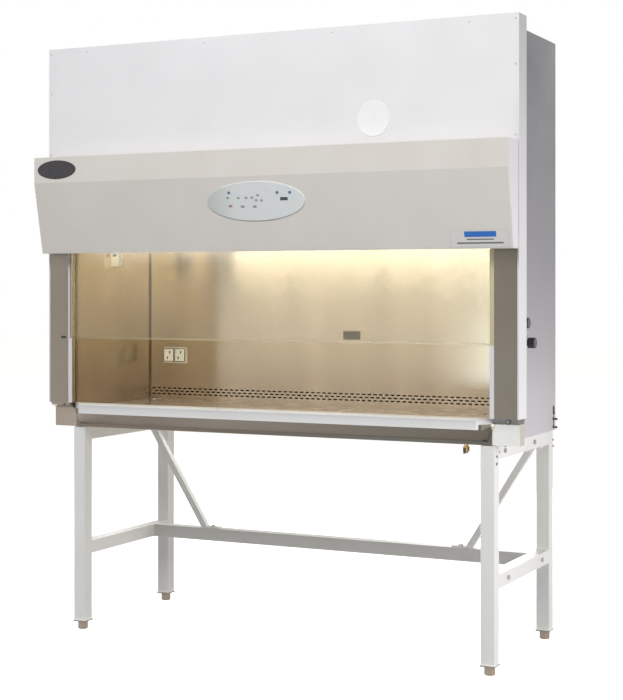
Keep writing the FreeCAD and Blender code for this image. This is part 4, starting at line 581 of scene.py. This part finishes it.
def rounded(width, height, radius):
    """A rectangle with round corners, as (x, y) points."""
    points = []
    for corner in range(4):
        middle_x = (width / 2 - radius) * (1 if corner in (0, 3) else -1)
        middle_y = (height / 2 - radius) * (1 if corner < 2 else -1)
        for i in range(CORNER_STEPS + 1):
            turn = math.radians(90 * (corner + i / CORNER_STEPS))
            points.append((middle_x + radius * math.cos(turn), middle_y + radius * math.sin(turn)))
    return points


def facing(place, right, up):
    """A frame at place whose x runs right, y up and z out of the surface."""
    right, up = Vector(right).normalized(), Vector(up).normalized()
    turn = Matrix((right, up, right.cross(up))).transposed().to_4x4()
    return Matrix.Translation(place) @ turn


def front_place(x, z, y=FRONT_Y):
    return facing((x, y, z), (1, 0, 0), (0, 0, 1))


def right_place(y, z, x=HALF_BODY):
    return facing((x, y, z), (0, 1, 0), (0, 0, 1))


def slope_place(x, z):
    y = SLOPE_FOOT_Y - (z - HOOD_LOW.z) * math.tan(SLOPE_TILT)
    return facing((x, y, z), (1, 0, 0), (0, -math.sin(SLOPE_TILT), math.cos(SLOPE_TILT)))


def rear_place(x, z):
    return facing((x, REAR_Y, z), (-1, 0, 0), (0, 0, 1))


def top_place(x, y, z):
    return facing((x, y, z), (1, 0, 0), (0, 1, 0))


def under_place(x, y, z):
    return facing((x, y, z), (1, 0, 0), (0, -1, 0))


# Shapes of small pieces

PAN_HEAD = ((1.0, 0.0), (1.0, 0.25), (0.85, 0.45), (0.5, 0.55), (0.42, 0.55), (0.38, 0.2))
FLUSH_HEAD = ((1.0, 0.0), (0.96, 1.0), (0.4, 1.0), (0.34, 1 / 3))


def add_piece(name, mesh, place, body, material):
    piece = bpy.data.objects.new(name, mesh)
    bpy.context.scene.collection.objects.link(piece)
    piece.matrix_world = place
    dress(piece, material)
    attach(piece, body)
    return piece


def soften(piece, width):
    bevel = piece.modifiers.new("edge", "BEVEL")
    bevel.width = width
    bevel.segments = 2
    bevel.limit_method = "ANGLE"
    bevel.angle_limit = math.radians(40)


def ringed_mesh(name, rings):
    """A closed form through equal rings of points, from low to high, anticlockwise from above."""
    steps = len(rings[0])
    faces = [tuple(reversed(range(steps)))]
    for ring in range(len(rings) - 1):
        low, high = ring * steps, (ring + 1) * steps
        for i in range(steps):
            j = (i + 1) % steps
            faces.append((low + i, low + j, high + j, high + i))
    faces.append(tuple(range(high, high + steps)))
    mesh = bpy.data.meshes.new(name)
    mesh.from_pydata([point for ring in rings for point in ring], [], faces)
    return mesh


def plate(name, outline, thickness, place, body, material, foot=0.0, edge=0.0):
    """A flat plate with that outline, from foot to foot + thickness out of the surface."""
    rings = [[(x, y, height) for x, y in outline] for height in (foot, foot + thickness)]
    piece = add_piece(name, ringed_mesh(name, rings), place, body, material)
    if edge:
        soften(piece, edge)


def turned_mesh(name, profile):
    """A turned form round z from (radius, height) points."""
    turns = [2 * math.pi * i / SCREW_STEPS for i in range(SCREW_STEPS)]
    return ringed_mesh(name, [[(radius * math.cos(turn), radius * math.sin(turn), height)
                               for turn in turns] for radius, height in profile])


def pan_screw(name, radius, place, body, material):
    """A low domed screw with a socket in its head."""
    profile = [(radius * wide, radius * high) for wide, high in PAN_HEAD]
    add_piece(name, turned_mesh(name, profile), place, body, material)


def flush_screw(name, radius, place, body, material):
    """A countersunk screw whose head stands a hair above the sheet."""
    profile = [(radius * wide, PROUD * high) for wide, high in FLUSH_HEAD]
    add_piece(name, turned_mesh(name, profile), place, body, material)


# Fittings on the front

TOP_SCREW_Z = TOP_Z - 0.02
TOP_SCREW_XS = (-0.8037, -0.27, 0.27, 0.8037)
TOP_SCREW_RADIUS = 0.003
FRONT_SCREW_ROWS = (TOP_SCREW_Z, 2.143, 1.898)
FRONT_SCREW_INSET = 0.012
FRONT_SCREW_RADIUS = 0.0035

LATCH_PLACE = (-0.9161, 1.169)
LATCH_WIDTH, LATCH_HEIGHT, LATCH_THICKNESS = 0.022, 0.010, 0.002

LEDGE_SCREW_Z = 0.8995
LEFT_SCREW_X, LEFT_SCREW_RADIUS = -0.916, 0.0045
RIGHT_SCREW_X, RIGHT_SCREW_RADIUS = 0.944, 0.0055
# A dark oval round the right ledge screw: painted shadow.
SCREW_SHADOW_PLACE = (0.946, 0.8985)
SCREW_SHADOW_WIDTH, SCREW_SHADOW_HEIGHT, SCREW_SHADOW_THICKNESS = 0.021, 0.019, 0.0012
BLOCK_NUT_X, BLOCK_NUT_Y, BLOCK_NUT_RADIUS = 0.920, -0.270, 0.0065

# For each side, how far out from the column's inner edge the strip's middle lies, and its width
SEALS = {"left": (0.0045, 0.0085), "right": (0.0085, 0.0168)}
SEAL_SET_BACK = 0.002
SEAL_THICKNESS = 0.001


def front_screws(material):
    for side, side_name in SIDES:
        for row, z in enumerate(FRONT_SCREW_ROWS):
            place = front_place(side * (HALF_FRAME - FRONT_SCREW_INSET), z)
            pan_screw("front_screw_%s_%d" % (side_name, row), FRONT_SCREW_RADIUS, place,
                      "cabinet", material)
    for i, x in enumerate(TOP_SCREW_XS):
        flush_screw("front_screw_top_%d" % i, TOP_SCREW_RADIUS, front_place(x, TOP_SCREW_Z),
                    "cabinet", material)


def post_latch(dark):
    plate("post_latch", rounded(LATCH_WIDTH, LATCH_HEIGHT, radius=0.002), LATCH_THICKNESS,
          front_place(*LATCH_PLACE), "cabinet", dark, edge=0.0005)


def sill_screws(dark, zinc):
    """Two screws in the sill's ledge, the right one on a dark oval that is its painted shadow, and a
    nut under the right block.
    """
    shadow_top_y = SILL_LEDGE_Y - SCREW_SHADOW_THICKNESS
    pan_screw("ledge_screw_left", LEFT_SCREW_RADIUS,
              front_place(LEFT_SCREW_X, LEDGE_SCREW_Z, SILL_LEDGE_Y), "cabinet", dark)
    plate("ledge_screw_shadow", oval(SCREW_SHADOW_WIDTH, SCREW_SHADOW_HEIGHT), SCREW_SHADOW_THICKNESS,
          front_place(*SCREW_SHADOW_PLACE, SILL_LEDGE_Y), "cabinet", dark, edge=0.0004)
    pan_screw("ledge_screw_right", RIGHT_SCREW_RADIUS,
              front_place(RIGHT_SCREW_X, LEDGE_SCREW_Z, shadow_top_y), "cabinet", zinc)
    pan_screw("block_nut", BLOCK_NUT_RADIUS,
              under_place(BLOCK_NUT_X, BLOCK_NUT_Y, SILL_LOW.z), "cabinet", dark)


def sash_seals(grey, cream):
    """Upright strips beside the pane, from its lower edge up to the posts' top, grey on the left and
    cream on the right.
    """
    height = POST_TOP_Z - GLASS_FOOT_Z
    middle = (POST_TOP_Z + GLASS_FOOT_Z) / 2
    for (side, name), material in zip(SIDES, (grey, cream)):
        out, width = SEALS[name]
        place = front_place(side * (COLUMN_INNER_X + out), middle, FRONT_Y + SEAL_SET_BACK)
        plate("sash_seal_" + name, rounded(width, height, radius=0.002), SEAL_THICKNESS, place,
              "cabinet", material)


# Fittings on the hood

BADGE_PLACE = (-0.875, 1.829)
BADGE_WIDTH, BADGE_HEIGHT = 0.180, 0.074

PRINT_THICKNESS = 0.0002
LABEL_PLACE = (0.861, 1.537)
LABEL_RIM = (0.214, 0.0625, 0.006)
LABEL_RIM_THICKNESS = 0.0004
LABEL_FACE = (0.211, 0.0595, 0.005)
LABEL_FACE_TOP = LABEL_RIM_THICKNESS + PRINT_THICKNESS
LABEL_BAR_PLACE = (0.8655, 1.552)
LABEL_BAR = (0.117, 0.020, 0.002)
# Each thin bar's place on the label, its width and its height
LABEL_LINES = ((0.865, 1.534, 0.100, 0.0045), (0.864, 1.5215, 0.170, 0.0060))

DISPLAY_PLACE = (0.119, 1.692)
DISPLAY = (0.031, 0.012, 0.002)
DOT_WIDTH = 0.012
DOT_PLACES = ((0.093, 1.715), (0.145, 1.714), (-0.108, 1.719))
KEY = (0.011, 0.008, 0.002)
KEY_PLACES = ((-0.114, 1.700), (-0.070, 1.699), (-0.037, 1.699), (-0.013, 1.699),
              (0.004, 1.689), (0.026, 1.688), (0.012, 1.707))
LOWER_KEY = (0.016, 0.009, 0.003)
LOWER_KEY_PLACES = ((-0.106, 1.670), (-0.055, 1.667), (-0.004, 1.666))


def hood_print(name, outline, place, material, foot=0.0, thickness=PRINT_THICKNESS):
    """A thin print or plate on the hood's slanted face."""
    plate(name, outline, thickness, slope_place(*place), "hood", material,
          foot=foot)


def hood_badge(dark):
    plate("hood_badge", oval(BADGE_WIDTH, BADGE_HEIGHT), PROUD,
          front_place(*BADGE_PLACE, HOOD_LOW.y), "hood", dark)


def hood_label(pale, rim, blue, grey):
    """A plain plate with a coloured bar and two thin grey bars, and no words."""
    hood_print("label_rim", rounded(*LABEL_RIM), LABEL_PLACE, rim, thickness=LABEL_RIM_THICKNESS)
    hood_print("label_face", rounded(*LABEL_FACE), LABEL_PLACE, pale, foot=LABEL_RIM_THICKNESS)
    hood_print("label_bar", rounded(*LABEL_BAR), LABEL_BAR_PLACE, blue, foot=LABEL_FACE_TOP)
    for i, (x, z, width, height) in enumerate(LABEL_LINES):
        hood_print("label_line_%d" % i, rounded(width, height, height / 3), (x, z), grey,
                   foot=LABEL_FACE_TOP)


def panel_marks(dark, blue, grey, red):
    """Plain key marks and a small dark display on the control panel, with no words."""
    foot = PANEL_THICKNESS
    hood_print("panel_display", rounded(*DISPLAY), DISPLAY_PLACE, dark, foot)
    for i, place in enumerate(DOT_PLACES):
        hood_print("panel_dot_%d" % i, oval(DOT_WIDTH, DOT_WIDTH), place, blue, foot)
    for i, place in enumerate(KEY_PLACES):
        hood_print("panel_key_%d" % i, rounded(*KEY), place, grey, foot)
    for i, place in enumerate(LOWER_KEY_PLACES):
        hood_print("panel_lower_%d" % i, rounded(*LOWER_KEY), place, grey if i else red, foot)


# Fittings in the work zone

SHADE_GAP_RIM = 0.0025
DETAIL_THICKNESS = 0.0006
SLOT_WIDTH, SLOT_HEIGHT = 0.006, 0.011
SLOT_ASIDE, SLOT_RISE = 0.006, 0.012
MOUTH_WIDTH, MOUTH_HEIGHT, MOUTH_DROP = 0.020, 0.013, 0.022
BEAD_WIDTH = 0.0045
PLUG_X, PLUG_Y, PLUG_RADIUS = 0.7186, 0.0863, 0.005


def outlet_details(dark):
    """A dark rim round each flip cover of the outlet, painted shade of its gap, and two slots in the
    cover.
    """
    plate_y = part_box("outlet_plate")[0].y
    middle_z = (OUTLET_LOW.z + OUTLET_HIGH.z) / 2
    for _, name in SIDES:
        cover = "outlet_cover_" + name
        low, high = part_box(cover)
        middle_x = (low.x + high.x) / 2
        # A dark sheet a rim wider than the cover: painted shade in the gap round it.
        gap = rounded(high.x - low.x + 2 * SHADE_GAP_RIM, high.z - low.z + 2 * SHADE_GAP_RIM, 0.003)
        plate("outlet_gap_shade_" + name, gap, DETAIL_THICKNESS, front_place(middle_x, middle_z, plate_y),
              "cabinet", dark)
        for side, level in ((-1, "low"), (1, "high")):
            place = front_place(middle_x + side * SLOT_ASIDE, middle_z + side * SLOT_RISE, low.y)
            plate("outlet_slot_%s_%s" % (name, level),
                  rounded(SLOT_WIDTH, SLOT_HEIGHT, radius=0.002), DETAIL_THICKNESS, place, cover,
                  dark)


def socket_mouth_shade(dark):
    """A dark oval on the fixture on the left wall: painted shade in its round mouth."""
    middle_x = (SOCKET_LOW.x + SOCKET_HIGH.x) / 2
    plate("socket_mouth_shade", oval(MOUTH_WIDTH, MOUTH_HEIGHT), DETAIL_THICKNESS,
          front_place(middle_x, SOCKET_HIGH.z - MOUTH_DROP, SOCKET_LOW.y), "cabinet", dark)


def tray_plug(dark):
    pan_screw("tray_plug", PLUG_RADIUS, top_place(PLUG_X, PLUG_Y, GRILLE_TOP_Z), "cabinet", dark)


def corner_beads(material):
    """Thin dark brown upright strips in the corners where the rear wall meets the two side walls."""
    height = SIDE_WALL_TOP_Z - TRAY_TOP_Z
    middle_z = (SIDE_WALL_TOP_Z + TRAY_TOP_Z) / 2
    for side, name in SIDES:
        place = front_place(side * (COLUMN_INNER_X - BEAD_WIDTH / 2), middle_z, WALL_LOW.y)
        plate("corner_bead_" + name, rounded(BEAD_WIDTH, height, BEAD_WIDTH / 3), BEAD_WIDTH,
              place, "cabinet", material, edge=0.001)


# Fittings on the stand, the right side and the rear

# Studs in the right side's top rail: y, z and radius
STUDS = {
    "leg_stud_0": (-0.260, 0.771, 0.0055), "leg_stud_1": (-0.264, 0.745, 0.0055),
    "leg_stud_2": (0.400, 0.773, 0.0055), "leg_stud_3": (0.404, 0.748, 0.0055),
    "rail_stud": (-0.2336, 0.7844, 0.0035),
}
BARB_Y = 0.392
BARB_ZS = (0.855, 0.823)
BARB_PROFILE = ((0.0055, 0.0), (0.0055, 0.004), (0.0032, 0.005), (0.0032, 0.0102),
                (0.0048, 0.01105), (0.004, 0.017))
CLIP_PLACE, CLIP, CLIP_THICKNESS = (0.395, 0.888), (0.011, 0.034, 0.004), 0.004
STRIP_PLACE, STRIP, STRIP_THICKNESS = (0.397, 0.842), (0.004, 0.050, 0.0015), 0.002
BRACE_NUT_X, BRACE_NUT_RADIUS = 0.555, 0.0075
REAR_SCREW_ROWS = 7
REAR_SCREW_INSET = 0.02
REAR_SCREW_MARGIN = 0.05
REAR_SCREW_RADIUS = 0.0045


def rail_studs(zinc):
    for name, (y, z, radius) in STUDS.items():
        pan_screw(name, radius, right_place(y, z, RAIL_SIDE_X), "cabinet", zinc)


def side_fittings(dark):
    """Two hose barbs, a clip and a strip at the right side's lower rear edge."""
    for i, z in enumerate(BARB_ZS):
        name = "side_barb_%d" % i
        add_piece(name, turned_mesh(name, BARB_PROFILE), right_place(BARB_Y, z), "cabinet", dark)
    plate("side_clip", rounded(*CLIP), CLIP_THICKNESS, right_place(*CLIP_PLACE), "cabinet", dark,
          edge=0.001)
    plate("side_strip", rounded(*STRIP), STRIP_THICKNESS, right_place(*STRIP_PLACE), "cabinet",
          dark)


def brace_nuts(zinc):
    """A nut under the cross rail for each brace."""
    for side, name in SIDES:
        place = under_place(side * BRACE_NUT_X, (CROSS_LOW.y + CROSS_HIGH.y) / 2, CROSS_LOW.z)
        pan_screw("brace_nut_" + name, BRACE_NUT_RADIUS, place, "cabinet", zinc)


def rear_screws(zinc):
    low, high = BODY_FOOT_Z + REAR_SCREW_MARGIN, TOP_Z - REAR_SCREW_MARGIN
    for row in range(REAR_SCREW_ROWS):
        z = low + (high - low) * row / (REAR_SCREW_ROWS - 1)
        for side, name in SIDES:
            flush_screw("rear_screw_%d_%s" % (row, name), REAR_SCREW_RADIUS,
                        rear_place(side * (HALF_BODY - REAR_SCREW_INSET), z), "cabinet", zinc)


def add_fittings(zinc):
    dark = plastic("dark_print", (48, 47, 50), roughness=0.35)
    front_screws(paint("screw_paint", (206, 204, 200), roughness=0.35))
    post_latch(dark)
    sill_screws(dark, zinc)
    sash_seals(plastic("seal_grey", (138, 130, 112), roughness=0.5),
               plastic("seal_cream", (206, 197, 160), roughness=0.5))
    hood_badge(plastic("badge_face", (56, 53, 56), roughness=0.3, spread=0.03, grain=0.02))
    hood_label(plastic("pale_print", (229, 226, 221), roughness=0.38, spread=0.01, grain=0.02),
               plastic("rim_print", (206, 204, 200), roughness=0.4),
               plastic("blue_print", (24, 104, 190), roughness=0.4),
               plastic("line_print", (110, 112, 116), roughness=0.4))
    panel_marks(dark, plastic("key_blue", (92, 120, 158), roughness=0.4),
                plastic("grey_print", (152, 158, 158), roughness=0.4),
                plastic("red_print", (176, 134, 132), roughness=0.4))
    outlet_details(dark)
    socket_mouth_shade(dark)
    tray_plug(dark)
    corner_beads(plastic("bead_brown", (104, 88, 62), roughness=0.5))
    rail_studs(zinc)
    side_fittings(dark)
    brace_nuts(zinc)
    rear_screws(zinc)


# Cables

CABLE_FALLS = {"sash_cable_front_falls": "sash", "sash_cable_rear_falls": "counterweights"}


def stretch_cables(material):
    """A copy of each fall, in the cable's material and with its place baked in, stands in for the
    imported fall, which is hidden.
    """
    for node, body in CABLE_FALLS.items():
        piece = bpy.data.objects.new(node + "_drawn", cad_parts[node].data.copy())
        bpy.context.scene.collection.objects.link(piece)
        dress(piece, material)
        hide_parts(node)
        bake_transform(piece)


# Light, floor and camera

WORLD_COLOUR, WORLD_STRENGTH = (1.0, 0.955, 0.9, 1.0), 0.22
FLOOR_HALF = 30.0
FLOOR_GLOW = 0.79
FLOOR_GREY = (0.23, 0.226, 0.22, 1.0)
LAMP_PLACE = (0.0, (TUBE_LOW.y + TUBE_HIGH.y) / 2, TUBE_LOW.z - 0.004)

# Each area light's place, the point it faces, its size, its power in watts and its colour
LIGHTS = {
    "key_softbox": ((0.6, -4.2, 5.6), (0, -0.2, 1.3), (3.0, 2.0), 255, (1.0, 1.0, 1.0)),
    "right_softbox": ((2.5, -0.3, 0.92), (0.98, -0.25, 0.95), (1.2, 1.2), 19.5, (1.0, 0.98, 1.0)),
    "low_strip": ((-1.05, -5.0, 0.24), (-1.05, 0, 0.24), (0.65, 0.44), 12, (0.58, 0.78, 1.0)),
    "left_softbox": ((-4.0, 0.4, 1.6), (-0.9, 0, 1.2), (2.0, 2.0), 64, (1.0, 1.0, 1.0)),
    "rear_softbox": ((0.0, 4.6, 2.6), (0, 0.4, 1.4), (3.0, 2.0), 116, (1.0, 1.0, 1.0)),
    "work_lamp": (LAMP_PLACE, (0.0, 0.25, 1.1), (1.6, 0.022), 5.0, (1.0, 0.962, 0.885)),
}


def area_light(name, place, target, size, power, colour):
    data = bpy.data.lights.new(name, "AREA")
    data.shape = "RECTANGLE"
    data.size, data.size_y = size
    data.energy = power
    data.color = colour
    light = bpy.data.objects.new(name, data)
    light.location = place
    light.rotation_euler = (Vector(target) - Vector(place)).to_track_quat("-Z", "Y").to_euler()
    bpy.context.scene.collection.objects.link(light)


def seen_or_mirrored(nodes, links):
    """1 for rays from the camera, a mirror or glass, and 0 for the rays that light the part."""
    path = nodes.new("ShaderNodeLightPath")
    share = path.outputs["Is Camera Ray"]
    for name in ("Is Glossy Ray", "Is Transmission Ray"):
        join = nodes.new("ShaderNodeMath")
        join.operation = "MAXIMUM"
        links.new(share, join.inputs[0])
        links.new(path.outputs[name], join.inputs[1])
        share = join.outputs["Value"]
    return share


def mix_by_ray(tree, lighting, seen, surface):
    """One shader for the rays that light the part, and another where it is seen or mirrored."""
    mix = tree.nodes.new("ShaderNodeMixShader")
    tree.links.new(seen_or_mirrored(tree.nodes, tree.links), mix.inputs["Fac"])
    tree.links.new(lighting, mix.inputs[1])
    tree.links.new(seen, mix.inputs[2])
    tree.links.new(mix.outputs["Shader"], surface)


def studio_world():
    """White wherever it is seen or mirrored, and a soft warm light for everything else."""
    world = bpy.data.worlds.new("studio")
    bpy.context.scene.world = world
    world.use_nodes = True
    nodes = world.node_tree.nodes
    soft, white = nodes["Background"], nodes.new("ShaderNodeBackground")
    soft.inputs["Color"].default_value = WORLD_COLOUR
    soft.inputs["Strength"].default_value = WORLD_STRENGTH
    white.inputs["Color"].default_value = WHITE
    white.inputs["Strength"].default_value = 1.0
    mix_by_ray(world.node_tree, soft.outputs["Background"], white.outputs["Background"],
               nodes["World Output"].inputs["Surface"])


def floor_material():
    """A white floor that keeps the part's shadow, and a grey one for the light that it sends up."""
    shading = Shading("floor_white", roughness=0.9)
    shading.set("Base Color", shading.mottled(shading.noise(1.5), (252, 252, 252)))
    shading.set("Specular IOR Level", 0.0)
    shading.set("Emission Color", WHITE)
    shading.set("Emission Strength", FLOOR_GLOW)
    grey = shading.nodes.new("ShaderNodeBsdfDiffuse")
    grey.inputs["Color"].default_value = FLOOR_GREY
    mix_by_ray(shading.material.node_tree, grey.outputs["BSDF"], shading.shader.outputs["BSDF"],
               shading.nodes["Material Output"].inputs["Surface"])
    return shading.material


def studio_floor():
    corners = [(x * FLOOR_HALF, y * FLOOR_HALF, 0) for x, y in ((-1, -1), (1, -1), (1, 1), (-1, 1))]
    mesh = bpy.data.meshes.new("studio_floor")
    mesh.from_pydata(corners, [], [(0, 1, 2, 3)])
    floor = bpy.data.objects.new("studio_floor", mesh)
    bpy.context.scene.collection.objects.link(floor)
    dress(floor, floor_material())


def photo_camera():
    data = bpy.data.cameras.new("photo_camera")
    data.sensor_width = CAMERA_SENSOR
    data.lens = CAMERA_LENS
    data.shift_y = CAMERA_SHIFT_Y
    camera = bpy.data.objects.new("photo_camera", data)
    camera.location = CAMERA_PLACE
    camera.rotation_euler = CAMERA_TURN
    bpy.context.scene.collection.objects.link(camera)
    bpy.context.scene.camera = camera


def main():
    materials = slot_materials()
    dress_nodes(materials)
    add_fittings(materials["zinc"])
    stretch_cables(materials["cable_steel"])
    studio_world()
    studio_floor()
    for name, setting in LIGHTS.items():
        area_light(name, *setting)
    photo_camera()
    bpy.context.scene.view_settings.view_transform = "Standard"


main()
